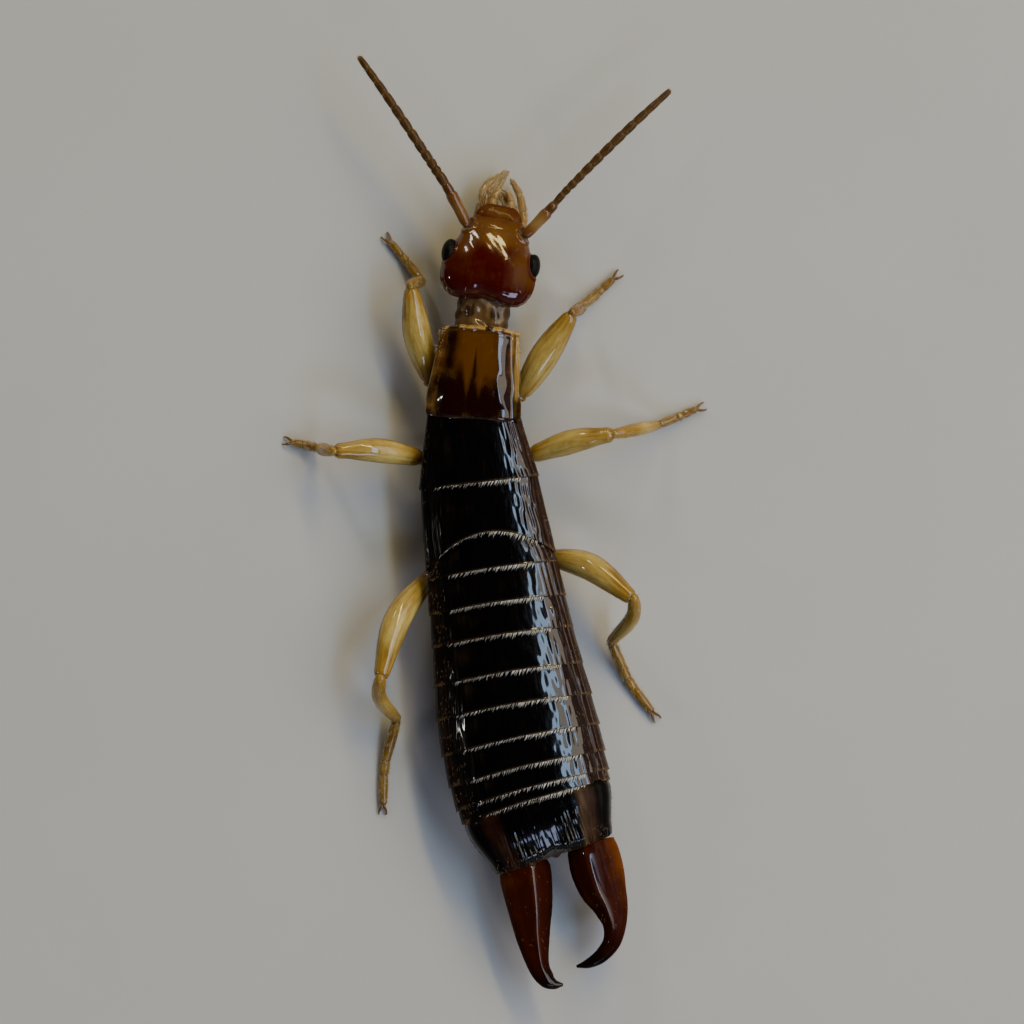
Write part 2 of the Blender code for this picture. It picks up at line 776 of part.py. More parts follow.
def make_neck(head_cutter, prothorax_cutters, material, collection):
    """The soft neck, widest at the pronotum, cut back from the head and the pronotum that it joins."""
    front = Vector((*HEAD_FRONT, NECK_HEIGHT))
    rear = Vector((*PRONOTUM_FRONT, NECK_HEIGHT))
    path = smooth_path([rear.lerp(front, share) for share in NECK_REACH], NECK_STEPS)
    widths = spread(NECK_HALF_WIDTHS, len(path))
    heights = spread(NECK_HALF_HEIGHTS, len(path))
    neck = tube("neck", path, widths, NECK_SIDES, material, collection)
    flatten(neck, path, [height / width for width, height in zip(widths, heights)])
    cut_clear(neck, [head_cutter, *prothorax_cutters])


def make_thorax_segment(name, sections, axis, material, collection):
    """A back plate fused with the chest under it."""
    plate, chest = sections
    pieces = [
        trunk_loft(name, plate, axis, material, collection),
        trunk_loft("chest", chest, axis, material, collection),
    ]
    return fuse(pieces)


def make_tail(material, collection):
    """The last tergite, with the small pygidium under the middle of its rear edge."""
    tail = trunk_loft("tail_segment", tail_sections(), bent_axis, material, collection)
    stations = rounded_ends([Vector(place) for place in PYGIDIUM], PYGIDIUM_RADII)
    fuse([tail, tube("pygidium", *stations, LIMB_SIDES, material, collection)])


def make_forceps(tail_cutter, material, collection):
    """Two unlike arms: the left nearly straight with a hooked tip, the right strongly curved."""
    for side, stations in FORCEPS.items():
        path = smooth_path([(s.x, s.y, s.z) for s in stations], FORCEPS_STEPS)
        widths = spread([s.half_width for s in stations], len(path))
        heights = spread([s.half_height for s in stations], len(path))
        arm = tube(f"forceps_{side}", path, widths, FORCEPS_SIDES, material, collection)
        flatten(arm, path, [height / width for width, height in zip(widths, heights)])
        cut_clear(arm, [tail_cutter])


def bowed(start, end, rise, outwards):
    """A path from start to end that bows upwards and away from the body."""
    middle = start.lerp(end, 0.45)
    away = Vector((math.copysign(outwards, middle.x), 0, rise))
    return smooth_path([start, middle + away, end], TIBIA_STEPS)


def make_claws(toe_joint, toe, material, collection):
    """The pair of small claws at the end of a foot."""
    forward = (toe - toe_joint).normalized()
    level = Vector((-forward.y, forward.x, 0)).normalized()
    claws = []
    for hand in (-1, 1):
        tip = toe + forward * CLAW_LENGTH + level * hand * CLAW_SPREAD
        tip.z = CLAW_TIP_HEIGHT
        middle = toe.lerp(tip, 0.6) + level * hand * CLAW_BOW
        path = smooth_path([toe - forward * CLAW_ROOT, middle, tip], CLAW_STEPS)
        claws.append(tube("claw", path, spread(CLAW_RADII, len(path)), CLAW_SIDES, material, collection))
    return claws


def make_leg(name, joints, cutters, material, collection):
    """One leg: coxa, femur, tibia, a foot of two long joints and its claws, fused and set on the floor."""
    at = {joint: Vector(point) for joint, point in zip(LEG_JOINTS, joints)}
    pair = name.split("_")[0]
    thick = FEMUR_RADII[pair]
    femur_path = smooth_path([at["trochanter"], at["thigh"], at["knee"]], 5)
    tibia_path = bowed(at["knee"], at["ankle"], TIBIA_RISE, TIBIA_BOW[pair])
    coxa_path = [at["hip"], at["hip"].lerp(at["trochanter"], 0.5), at["trochanter"]]
    runs = (
        (f"leg_{name}", femur_path, (0.26, thick, thick, 0.8 * thick, 0.27)),
        ("coxa", coxa_path, COXA_RADII),
        ("tibia", tibia_path, TIBIA_RADII),
        ("foot", smooth_path([at["ankle"], at["toe_joint"]], FOOT_STEPS), TARSUS_RADII),
        ("toe", smooth_path([at["toe_joint"], at["toe"]], FOOT_STEPS), TARSUS_RADII),
    )
    pieces = []
    for piece, path, radii in runs:
        stations = rounded_ends(path, spread(radii, len(path)))
        pieces.append(tube(piece, *stations, LIMB_SIDES, material, collection))
    pieces += make_claws(at["toe_joint"], at["toe"], material, collection)
    leg = fuse(pieces)
    cut_clear(leg, cutters)


def build():
    clear_scene()
    parts = new_collection("earwig")
    cutters = new_collection("clearances")
    paint = {name: make_material(name) for name in FINISHES}

    head_frame = frame_empty("head_frame", HEAD_FRONT, HEAD_HEIGHT, HEAD_HEADING, HEAD_NOD, parts)
    chest_frame = frame_empty("prothorax_frame", PRONOTUM_FRONT, 0.0, PRONOTUM_HEADING, 0.0, parts)

    def clearance(name, sections, axis, frame=None, notches=None):
        """A copy of a trunk piece grown by the joint gap, which cuts its neighbours clear of it."""
        cutter = trunk_loft(name, sections, axis, paint["membrane"], cutters, notches, JOINT_GAP)
        cutter.parent = frame
        return as_cutter(cutter)

    head_cutter = clearance("head_clearance", head_sections(), straight_axis, head_frame, head_notches())
    mouth_sections = [
        Section(-MANDIBLE_REACH, 0.60, 0.16, MANDIBLE_BOTTOM),
        Section(LABRUM_LENGTH, 0.68, 0.22, MANDIBLE_BOTTOM),
    ]
    mouth_cutter = clearance("mouth_clearance", mouth_sections, straight_axis, head_frame)
    prothorax_cutters = [
        clearance(f"prothorax_clearance_{i}", sections, straight_axis, chest_frame)
        for i, sections in enumerate(prothorax_sections())
    ]
    mesothorax_cutters = [
        clearance(f"mesothorax_clearance_{i}", sections, bent_axis)
        for i, sections in enumerate(mesothorax_sections())
    ]
    metathorax_cutters = [
        clearance(f"metathorax_clearance_{i}", sections, bent_axis)
        for i, sections in enumerate(metathorax_sections())
    ]
    abdomen_cutter = clearance("abdomen_clearance", abdomen_sections(), bent_axis)
    tail_cutter = clearance("tail_clearance", tail_sections(), bent_axis)

    head = make_head(head_frame, paint["head_shell"], parts)
    make_eyes(head, head_frame, paint["eye"], parts, cutters)
    make_mouthparts(head_frame, paint["mouth_shell"], parts)
    make_palps(head_frame, head_cutter, mouth_cutter, paint["mouth_shell"], parts)
    make_antennae(head_frame, head_cutter, paint["antenna_shell"], parts)
    make_neck(head_cutter, prothorax_cutters, paint["membrane"], parts)

    prothorax = make_thorax_segment(
        "prothorax", prothorax_sections(), straight_axis, paint["pronotum_shell"], parts
    )
    prothorax.parent = chest_frame
    make_thorax_segment("mesothorax", mesothorax_sections(), bent_axis, paint["dark_shell"], parts)
    make_thorax_segment("metathorax", metathorax_sections(), bent_axis, paint["dark_shell"], parts)
    trunk_loft("abdomen", abdomen_sections(), bent_axis, paint["dark_shell"], parts)
    make_tail(paint["dark_shell"], parts)
    make_forceps(tail_cutter, paint["forceps_shell"], parts)

    floor_cutter = make_floor_cutter(cutters)
    reach_of = {
        "front": prothorax_cutters + mesothorax_cutters,
        "middle": prothorax_cutters + mesothorax_cutters + metathorax_cutters,
        "hind": metathorax_cutters + [abdomen_cutter],
    }
    for name, joints in LEGS.items():
        neighbours = reach_of[name.split("_")[0]]
        make_leg(name, joints, [*neighbours, floor_cutter], paint["leg_shell"], parts)

    for cutter in list(cutters.objects):
        bpy.data.objects.remove(cutter, do_unlink=True)


build()
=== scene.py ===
"""The finish of the earwig model: its plates, limbs, eyes, mouthparts and bristles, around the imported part.

The row frame has +Y towards the head, +X to the animal's right and +Z up from the floor. Every named size
is in millimetres, and MM turns it into metres where a mesh is made. The paths of the limbs, feelers and
forceps are the solids' own, and the skins stay close to the solids.
A skin is a lattice of points: its rows run along the piece and its columns round it.
"""

import math
from collections import namedtuple

import bmesh
import bpy
import numpy as np
from mathutils import Euler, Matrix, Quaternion, Vector


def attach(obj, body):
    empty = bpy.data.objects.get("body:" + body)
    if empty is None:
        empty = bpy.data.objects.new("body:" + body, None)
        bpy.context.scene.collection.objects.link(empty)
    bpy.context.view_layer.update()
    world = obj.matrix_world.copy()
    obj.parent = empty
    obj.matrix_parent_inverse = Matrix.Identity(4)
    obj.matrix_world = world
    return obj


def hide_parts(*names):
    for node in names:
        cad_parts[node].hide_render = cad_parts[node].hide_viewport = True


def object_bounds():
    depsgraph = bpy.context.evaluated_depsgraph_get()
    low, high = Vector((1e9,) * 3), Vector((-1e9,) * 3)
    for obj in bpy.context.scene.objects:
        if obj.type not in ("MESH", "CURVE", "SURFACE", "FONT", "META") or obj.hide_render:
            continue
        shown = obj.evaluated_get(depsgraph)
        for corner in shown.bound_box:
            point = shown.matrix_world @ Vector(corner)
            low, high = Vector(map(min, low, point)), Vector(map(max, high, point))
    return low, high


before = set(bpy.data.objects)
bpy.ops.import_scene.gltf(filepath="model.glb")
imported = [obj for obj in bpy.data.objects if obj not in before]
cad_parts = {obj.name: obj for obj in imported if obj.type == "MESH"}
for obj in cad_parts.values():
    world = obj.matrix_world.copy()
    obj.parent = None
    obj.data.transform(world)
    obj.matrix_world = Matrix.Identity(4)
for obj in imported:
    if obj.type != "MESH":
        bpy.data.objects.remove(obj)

MM = 0.001
CAD_BOX = [list(corner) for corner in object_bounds()]

BODY_AXIS = (
    (-0.72, 3.33), (-0.50, 1.12), (-0.12, -1.41), (0.40, -4.74), (0.78, -6.82), (1.25, -8.74),
    (1.90, -10.62),
)
AXIS_REACH = 0.2

HEAD_FRONT = (0.18, 10.16)
HEAD_HEADING = 10.6
HEAD_HEIGHT = 1.62
HEAD_NOD = 6.0
HEAD_NOTCH = 0.16
HEAD_NOTCH_WIDTH = 0.5
HEAD_NOTCH_START = 2.0
# Back from the front edge of the labrum, half width, top and bottom of the head capsule.
HEAD_SECTIONS = (
    (0.44, 0.77, 0.14, -0.27), (0.62, 0.86, 0.25, -0.34), (0.79, 0.94, 0.33, -0.42),
    (1.05, 1.08, 0.46, -0.52), (1.35, 1.20, 0.57, -0.60), (1.70, 1.37, 0.67, -0.66),
    (2.10, 1.50, 0.73, -0.70), (2.50, 1.52, 0.71, -0.70), (2.82, 1.42, 0.62, -0.62),
    (3.05, 1.21, 0.46, -0.48), (3.15, 1.00, 0.31, -0.36), (3.19, 0.72, 0.16, -0.22),
)
EYE_PLACE = (1.35, 1.79, 0.12)
EYE_RADII = (0.25, 0.42, 0.36)
ANTENNA_SOCKET = (0.98, 0.80, 0.16)

ANTENNAE = {
    "left": ((-1.48, 10.62, 2.10), (-2.16, 11.66, 2.22), (-3.36, 13.46, 2.42), (-4.36, 14.88, 2.50)),
    "right": ((1.74, 10.02, 1.95), (2.34, 10.70, 1.95), (4.10, 12.46, 1.80), (5.60, 13.85, 1.60)),
}
MAXILLARY_PALPS = {
    "left": (
        (-0.66, 1.10, -0.72), (-0.64, 0.36, -0.96), (-0.54, -0.36, -1.00), (-0.32, -0.90, -0.96),
        (0.00, -1.22, -0.86),
    ),
    "right": (
        (0.72, 1.10, -0.72), (0.78, 0.30, -0.96), (0.66, -0.24, -1.04), (0.48, -0.64, -1.08),
        (0.17, -1.02, -1.14),
    ),
}

NECK_HEIGHT = 1.58
PRONOTUM_FRONT = (-0.48, 6.30)
PRONOTUM_HEADING = 4.6
PRONOTUM_LENGTH = 2.97
STERNUM_HEIGHT = 0.74

# Each back plate and tergite: where it ends along the body axis, its half width there, the heights of its
# back and of its side edge, and the height of the belly under it.
Ring = namedtuple("Ring", "rear half_width top side bottom")
MESONOTUM_REAR = Ring(2.06, 1.93, 2.47, 1.84, 1.50)
METANOTUM_REAR = Ring(3.66, 2.11, 2.49, 1.80, 1.30)
TERGITES = (
    Ring(4.81, 2.16, 2.49, 1.78, 1.22), Ring(5.91, 2.22, 2.60, 1.76, 0.86),
    Ring(6.95, 2.30, 2.72, 1.74, 0.60), Ring(8.15, 2.42, 2.84, 1.72, 0.48),
    Ring(9.19, 2.54, 2.90, 1.68, 0.46), Ring(10.26, 2.59, 2.90, 1.66, 0.46),
    Ring(11.20, 2.59, 2.84, 1.66, 0.50), Ring(11.90, 2.54, 2.76, 1.66, 0.58),
    Ring(12.30, 2.48, 2.70, 1.66, 0.64),
)
METANOTUM_ARCH = 0.97
ARCH_REACH = 2.1
PLATE_STEP = 0.10
PLATE_LAP = 0.22
PLATE_LIP = 0.028
# How far a lip reaches back under its plate and how low it ends, by its own radius.
LIP_REACH = 5
LIP_DROP = 2.4

ArmStation = namedtuple("ArmStation", "x y z half_width half_height")
FORCEPS = {
    "left": (
        ArmStation(0.92, -10.85, 1.55, 0.78, 0.55), ArmStation(0.99, -11.45, 1.52, 0.79, 0.53),
        ArmStation(1.10, -12.29, 1.46, 0.69, 0.45), ArmStation(1.19, -13.20, 1.40, 0.52, 0.37),
        ArmStation(1.36, -14.12, 1.34, 0.36, 0.30), ArmStation(1.60, -14.58, 1.31, 0.29, 0.25),
        ArmStation(1.86, -14.77, 1.29, 0.18, 0.18), ArmStation(2.17, -14.79, 1.27, 0.04, 0.05),
    ),
    "right": (
        ArmStation(3.05, -10.20, 1.55, 0.76, 0.55), ArmStation(3.22, -10.95, 1.52, 0.81, 0.53),
        ArmStation(3.42, -11.62, 1.47, 0.74, 0.47), ArmStation(3.68, -12.25, 1.42, 0.54, 0.40),
        ArmStation(3.81, -12.85, 1.38, 0.37, 0.33), ArmStation(3.72, -13.42, 1.34, 0.29, 0.27),
        ArmStation(3.38, -13.86, 1.31, 0.23, 0.21), ArmStation(2.99, -14.10, 1.29, 0.16, 0.15),
        ArmStation(2.59, -14.21, 1.27, 0.04, 0.05),
    ),
}

LEG_JOINTS = ("hip", "trochanter", "thigh", "knee", "ankle", "toe_joint", "toe")
LEGS = {
    "front_left": (
        (-1.72, 4.20, 0.95), (-2.08, 4.50, 0.98), (-2.50, 6.05, 1.50), (-2.70, 7.58, 2.00),
        (-2.36, 7.76, 0.45), (-2.86, 8.40, 0.21), (-3.40, 9.06, 0.20),
    ),
    "front_right": (
        (0.42, 3.95, 0.95), (0.78, 4.04, 0.98), (1.56, 5.35, 1.50), (2.48, 6.72, 2.00),
        (2.80, 6.98, 0.45), (3.30, 7.40, 0.21), (3.82, 7.87, 0.20),
    ),
    "middle_left": (
        (-1.92, 2.02, 0.92), (-2.34, 2.08, 0.98), (-3.80, 2.32, 1.75), (-5.20, 2.30, 2.15),
        (-5.66, 2.40, 0.45), (-6.10, 2.50, 0.21), (-6.56, 2.60, 0.20),
    ),
    "middle_right": (
        (0.66, 2.08, 0.92), (1.08, 2.16, 0.98), (2.50, 2.62, 1.60), (3.82, 2.85, 1.95),
        (5.25, 3.16, 0.45), (5.90, 3.42, 0.21), (6.48, 3.66, 0.20),
    ),
    "hind_left": (
        (-1.64, -1.20, 0.84), (-2.12, -1.72, 0.82), (-3.14, -3.10, 1.75), (-3.68, -5.00, 2.40),
        (-3.14, -6.34, 0.50), (-3.55, -7.72, 0.21), (-3.62, -9.10, 0.20),
    ),
    "hind_right": (
        (1.16, -0.88, 0.84), (1.66, -1.08, 0.82), (3.05, -1.42, 1.75), (4.42, -2.45, 2.40),
        (3.68, -3.84, 0.50), (4.28, -5.06, 0.21), (5.06, -6.12, 0.20),
    ),
}
FEMUR_RADII = {"front": 0.46, "middle": 0.39, "hind": 0.44}
TIBIA_BOW = {"front": 0.03, "middle": 0.06, "hind": 0.26}
SHIN_GIRTH = {"front": 0.84, "middle": 0.88, "hind": 1.0}
FOOT_GIRTH = {"front": 0.82, "middle": 0.80, "hind": 1.0}
TIBIA_RISE = 0.14

# The cross-section of a tergite from the middle of its back to its right edge: the place on the way, how
# far across and how high. It has a flat disc, a shoulder, a sloping flank, a groove and a rolled edge
# that is tucked under. Heights below the edge are shares of the drop to the belly.
TERGITE_PROFILE = (
    (0.00, 0.000, 1.000), (0.18, 0.270, 0.975), (0.34, 0.460, 0.905), (0.44, 0.600, 0.815),
    (0.54, 0.715, 0.715), (0.61, 0.790, 0.610), (0.66, 0.835, 0.520), (0.69, 0.858, 0.475),
    (0.72, 0.880, 0.460), (0.80, 0.945, 0.425), (0.86, 0.985, 0.270), (0.90, 1.000, 0.040),
    (0.94, 0.985, -0.180), (1.00, 0.890, -0.360),
)
PRONOTUM_PROFILE = (
    (0.00, 0.000, 0.985), (0.20, 0.280, 0.985), (0.38, 0.500, 0.930), (0.50, 0.640, 0.800),
    (0.58, 0.720, 0.640), (0.64, 0.780, 0.500), (0.72, 0.850, 0.430), (0.82, 0.930, 0.440),
    (0.90, 0.985, 0.400), (0.94, 1.000, 0.260), (0.97, 0.985, 0.100), (1.00, 0.930, -0.020),
)

# The camera looks straight down on the model: its place and its lens, in millimetres.
CAMERA_PLACE = (0.528, 0.352, 250.0)
CAMERA_LENS = 273.0
CAMERA_SENSOR = 36.0


# Curves and lattices of points

Skin = namedtuple("Skin", "grid loop caps marks", defaults=(False, False, None))


def smooth_path(points, steps=12):
    """Points along a smooth curve through the given ones."""
    knots = np.array(points, float)
    knots = np.vstack([2 * knots[0] - knots[1], knots, 2 * knots[-1] - knots[-2]])
    t = (np.arange(steps) / steps)[:, None]
    spans = []
    for a, b, c, d in zip(knots, knots[1:], knots[2:], knots[3:]):
        bend = (2 * a - 5 * b + 4 * c - d) * t**2 + (3 * b - a - 3 * c + d) * t**3
        spans.append(0.5 * (2 * b + (c - a) * t + bend))
    return np.vstack([*spans, knots[-2]])


def path_length(path):
    return float(np.linalg.norm(np.diff(path, axis=0), axis=1).sum())


def along_path(path, distances):
    """The points at these distances along a path, which goes straight on past its ends."""
    distances = np.asarray(distances, float)
    steps = np.linalg.norm(np.diff(path, axis=0), axis=1)
    lengths = np.concatenate([[0.0], np.cumsum(steps)])
    span = np.clip(np.searchsorted(lengths, distances) - 1, 0, len(path) - 2)
    share = (distances - lengths[span]) / steps[span]
    return path[span] + (path[span + 1] - path[span]) * share[..., None]


def flow(knots, at):
    """Smooth values between knots of (place, value, ...), one array for each value."""
    table = np.array(knots, float)
    place, values = table[:, 0], table[:, 1:]
    slope = np.gradient(values, place, axis=0)
    at = np.clip(np.asarray(at, float), place[0], place[-1])
    i = np.clip(np.searchsorted(place, at, side="right") - 1, 0, len(place) - 2)
    span = (place[i + 1] - place[i])[..., None]
    t = (at - place[i])[..., None] / span
    rise = (1 + 2 * t) * (1 - t) ** 2 * values[i] + t * t * (3 - 2 * t) * values[i + 1]
    lean = t * (1 - t) ** 2 * span * slope[i] + t * t * (t - 1) * span * slope[i + 1]
    return np.moveaxis(rise + lean, -1, 0)


def fade(value, low, high):
    """A smooth step from 0 at low to 1 at high."""
    t = np.clip((value - low) / (high - low), 0, 1)
    return t * t * (3 - 2 * t)


def bump(value, middle, width):
    """A smooth hill of height 1."""
    return np.exp(-(((value - middle) / width) ** 2))


def mound(x, y, width=1):
    """The same round the place where x and y are 0."""
    return bump(np.hypot(x, y), 0, width)


def uneven(u, v, seed, waves=9):
    """A smooth uneven pattern of about -1 to 1 that is the same on every run."""
    draw = np.random.default_rng(seed)
    pattern = 0.0
    for along, across, phase in draw.uniform((-1, -1, 0), (1, 1, 2 * math.pi), (waves, 3)):
        pattern = pattern + np.sin(u * along + v * across + phase)
    return pattern / math.sqrt(waves)


def near_line(x, y, line):
    """The distance of each point from a line of several straight runs."""
    nearest = np.full(np.broadcast(x, y).shape, np.inf)
    for (ax, ay), (bx, by) in zip(line, line[1:]):
        dx, dy = bx - ax, by - ay
        share = np.clip(((x - ax) * dx + (y - ay) * dy) / (dx * dx + dy * dy), 0, 1)
        nearest = np.minimum(nearest, np.hypot(x - ax - share * dx, y - ay - share * dy))
    return nearest


def radii_from(place, radii, spots):
    """How many radii each spot is from a place."""
    return np.sqrt(sum(((spot - middle) / radius) ** 2 for spot, middle, radius in zip(spots, place, radii)))


TRUNK = smooth_path([(x, y, 0) for x, y in BODY_AXIS])


def bent_axis(along, reach, up):
    """Places on the trunk: behind the pronotum, out to the right, and above the floor."""
    along, reach, up = np.broadcast_arrays(along, reach, up)
    back = along_path(TRUNK, along + AXIS_REACH) - along_path(TRUNK, along - AXIS_REACH)
    back /= np.linalg.norm(back, axis=-1, keepdims=True)
    places = along_path(TRUNK, along)
    places[..., 0] -= back[..., 1] * reach
    places[..., 1] += back[..., 0] * reach
    places[..., 2] = up
    return places


def rigid_axis(place, height, heading, nod=0.0):
    """The same for a piece modelled in a frame of its own, with its front edge at the origin."""
    turn = np.array(Euler((math.radians(-nod), 0, math.radians(-heading))).to_matrix())
    origin = np.array((*place, height))

    def places(along, reach, up):
        local = np.stack(np.broadcast_arrays(reach, -np.asarray(along), up), axis=-1).astype(float)
        return origin + local @ turn.T

    return places


head_axis = rigid_axis(HEAD_FRONT, HEAD_HEIGHT, HEAD_HEADING, HEAD_NOD)
chest_axis = rigid_axis(PRONOTUM_FRONT, 0.0, PRONOTUM_HEADING)


def normals_of(grid, loop):
    """The outward direction at each point of a lattice."""
    if loop:
        across = np.roll(grid, -1, axis=1) - np.roll(grid, 1, axis=1)
    else:
        across = np.gradient(grid, axis=1)
    normal = np.cross(across, np.gradient(grid, axis=0))
    return normal / np.maximum(np.linalg.norm(normal, axis=-1, keepdims=True), 1e-12)


def raised(grid, amount, loop=False):
    return grid + normals_of(grid, loop) * amount[..., None]


def turned_away(grid, loop=False):
    """1 where a skin faces sideways or down, and 0 where it faces up."""
    return fade(normals_of(grid, loop)[..., 2], 0.40, 0.05)


def lipped_rows(front, rear, count, lip=PLATE_LIP):
    """Distances and insets of a plate's rows: over its back, round its rear lip and in under it."""
    turn = np.linspace(0, math.pi, 8)[1:]
    along = np.concatenate([np.linspace(front, rear - lip, count), rear - lip + lip * np.sin(turn)])
    inset = np.concatenate([np.zeros(count), lip * (1 - np.cos(turn))])
    along, inset = np.append(along, rear - LIP_REACH * lip), np.append(inset, LIP_DROP * lip)
    return along[:, None], inset[:, None]


def plate_columns(profile, count):
    """Places across a plate from its right edge to its left one, with how far out and up they are."""
    column = np.linspace(1, -1, count)[None, :]
    across, rise = flow(profile, np.abs(column))
    return column, np.copysign(across, column), rise


def oval(angle, half_width, top, bottom, square, widest=None):
    """Points round a full cross-section: how far across and how high."""
    across = np.copysign(np.abs(np.cos(angle)) ** square, np.cos(angle)) * half_width
    middle = (top + bottom) / 2 if widest is None else widest
    reach = np.where(np.sin(angle) > 0, top - middle, bottom - middle)
    return across, middle + np.abs(np.sin(angle)) ** square * reach


def round_columns(count):
    """Angles round a closed skin, from underneath."""
    return (np.arange(count) / count * 2 * math.pi - math.pi / 2)[None, :]


def limb_skin(path, radii, rows=40, sides=24, flat=1.0, shape=None, marks=None):
    """A limb with domed ends round a path. radii are knots of (share of the length, radius), flat is
    its height by its width, and shape(share, angle) gives each point's swelling."""
    length = path_length(path)
    share = (0.5 - 0.5 * np.cos(np.linspace(0, math.pi, rows)))[1:-1]
    centre = along_path(path, share * length)
    heading = np.gradient(centre, axis=0)
    heading /= np.linalg.norm(heading, axis=-1, keepdims=True)
    top = np.array((0.0, 0.0, 1.0))
    if abs(heading[0][2]) > 0.9:
        top = np.array((0.0, 1.0, 0.0))
    tops = []
    for ahead in heading:
        top = top - ahead * (top @ ahead)
        top = top / np.linalg.norm(top)
        tops.append(top)
    tops = np.array(tops)[:, None]
    sideways = np.cross(tops, heading[:, None])
    radius = flow(radii, share)[0]
    for distance in (share * length, (1 - share) * length):
        dome = np.clip(1 - distance / np.maximum(radius, 1e-6), 0, 1)
        radius = radius * np.sqrt(1 - dome**2)
    angle = round_columns(sides)
    size = radius[:, None] * (1.0 if shape is None else shape(share[:, None], angle))
    out = sideways * (np.cos(angle) * size)[..., None] + tops * (np.sin(angle) * size * flat)[..., None]
    marks = {name: mark(share[:, None], angle) for name, mark in (marks or {}).items()}
    return Skin(centre[:, None] + out, True, True, marks)


# Meshes

def piece_from(name, points, faces, material, replaces=()):
    """A mesh from points in millimetres, kept inside the solids' box."""
    mesh = bpy.data.meshes.new(name)
    mesh.from_pydata(np.clip(np.asarray(points) * MM, *CAD_BOX).tolist(), [], faces)
    mesh.materials.append(material)
    mesh.shade_smooth()
    obj = bpy.data.objects.new(name, mesh)
    bpy.context.scene.collection.objects.link(obj)
    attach(obj, "root")
    if replaces:
        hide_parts(*replaces)
    return obj


def running_length(grid, axis):
    """How far along a lattice each of its rows or columns is."""
    steps = np.linalg.norm(np.diff(grid, axis=axis), axis=-1).mean(axis=1 - axis)
    return np.concatenate([[0.0], np.cumsum(steps)])


def make_shell(name, skins, material, replaces=()):
    """One piece from skins, with the marks that its material reads."""
    points, faces = [], []
    marks = {"deep": [], "pale": [], "run": [], "lane": [], "dull": []}
    start = 0
    for skin in skins:
        rows, columns = skin.grid.shape[:2]
        index = start + np.arange(rows * columns).reshape(rows, columns)
        near = index if skin.loop else index[:, :-1]
        far = np.roll(index, -1, axis=1) if skin.loop else index[:, 1:]
        faces += np.stack([near[:-1], far[:-1], far[1:], near[1:]], axis=-1).reshape(-1, 4).tolist()
        values = {
            "run": running_length(skin.grid, 0)[:, None],
            "lane": running_length(skin.grid, 1)[None, :],
            "dull": turned_away(skin.grid, skin.loop),
            **(skin.marks or {}),
        }
        values = {mark: np.broadcast_to(values.get(mark, 0.0), (rows, columns)) for mark in marks}
        points.append(skin.grid.reshape(-1, 3))
        for mark, value in values.items():
            marks[mark].append(value.ravel())
        start += rows * columns
        if not skin.caps:
            continue
        ends = ((0, np.roll(index[0], -1), index[0]), (-1, index[-1], np.roll(index[-1], -1)))
        for row, ring, after in ends:
            points.append(skin.grid[row].mean(axis=0)[None])
            for mark, value in values.items():
                marks[mark].append(value[row].mean()[None])
            faces += [[a, b, start] for a, b in zip(ring.tolist(), after.tolist())]
            start += 1
    obj = piece_from(name, np.vstack(points), faces, material, replaces)
    for mark, parts in marks.items():
        layer = obj.data.attributes.new(mark, "FLOAT", "POINT")
        layer.data.foreach_set("value", np.concatenate(parts).astype(np.float32))


# Bristles

Tuft = namedtuple("Tuft", "roots lie lift lengths radii places")
BRISTLE_RINGS = ((0.0, 1.0), (0.35, 0.86), (0.70, 0.55))
BRISTLE_SIDES = 3
BRISTLE_DROOP = 0.18
BRISTLE_SCATTER = 0.12
BRISTLE_SINK = 1.5
SHORTEST, LONGEST = 0.65, 1.15
PATCH = 0.003


def sown(skin, count, seed, length, radius, lean=0.5, rows=(0.04, 0.96), columns=(0.0, 1.0), cell=(0, 1)):
    """Bristles over part of a skin, leaning towards its far end. cell is the skin's own strip of the map."""
    draw = np.random.default_rng(seed)
    high, wide = skin.grid.shape[0] - 1, skin.grid.shape[1] - (0 if skin.loop else 1)
    v = draw.uniform(*rows, count) * high
    u = draw.uniform(*columns, count) * (wide - 1e-6)
    return planted(skin, v, u, draw, length, radius, lean, cell)


def on_both_sides(skin, count, seeds, length, radius, lean, columns, **where):
    """The same on the right part of a skin and on the left."""
    sides = (columns, (1 - columns[1], 1 - columns[0]))
    return [
        sown(skin, count, seed, length, radius, lean, columns=side, **where)
        for seed, side in zip(seeds, sides)
    ]


def fringe(skin, row, spacing, seed, length, radius, lean=0.9, columns=(0.0, 1.0), cell=(0, 1), slant=0.0):
    """Bristles side by side along one row of a skin, all slanting to one side of it."""
    draw = np.random.default_rng(seed)
    wide = skin.grid.shape[1] - 1
    ways = running_length(skin.grid[row:row + 2], 1)
    stops = np.arange(columns[0] * ways[-1], columns[1] * ways[-1], spacing)
    stops = np.clip(stops + draw.normal(0, 0.3 * spacing, len(stops)), 0, ways[-1])
    u = np.clip(np.interp(stops, ways, np.arange(wide + 1)), 0, wide - 1e-6)
    return planted(skin, np.full(len(u), float(row)), u, draw, length, radius, lean, cell, slant)


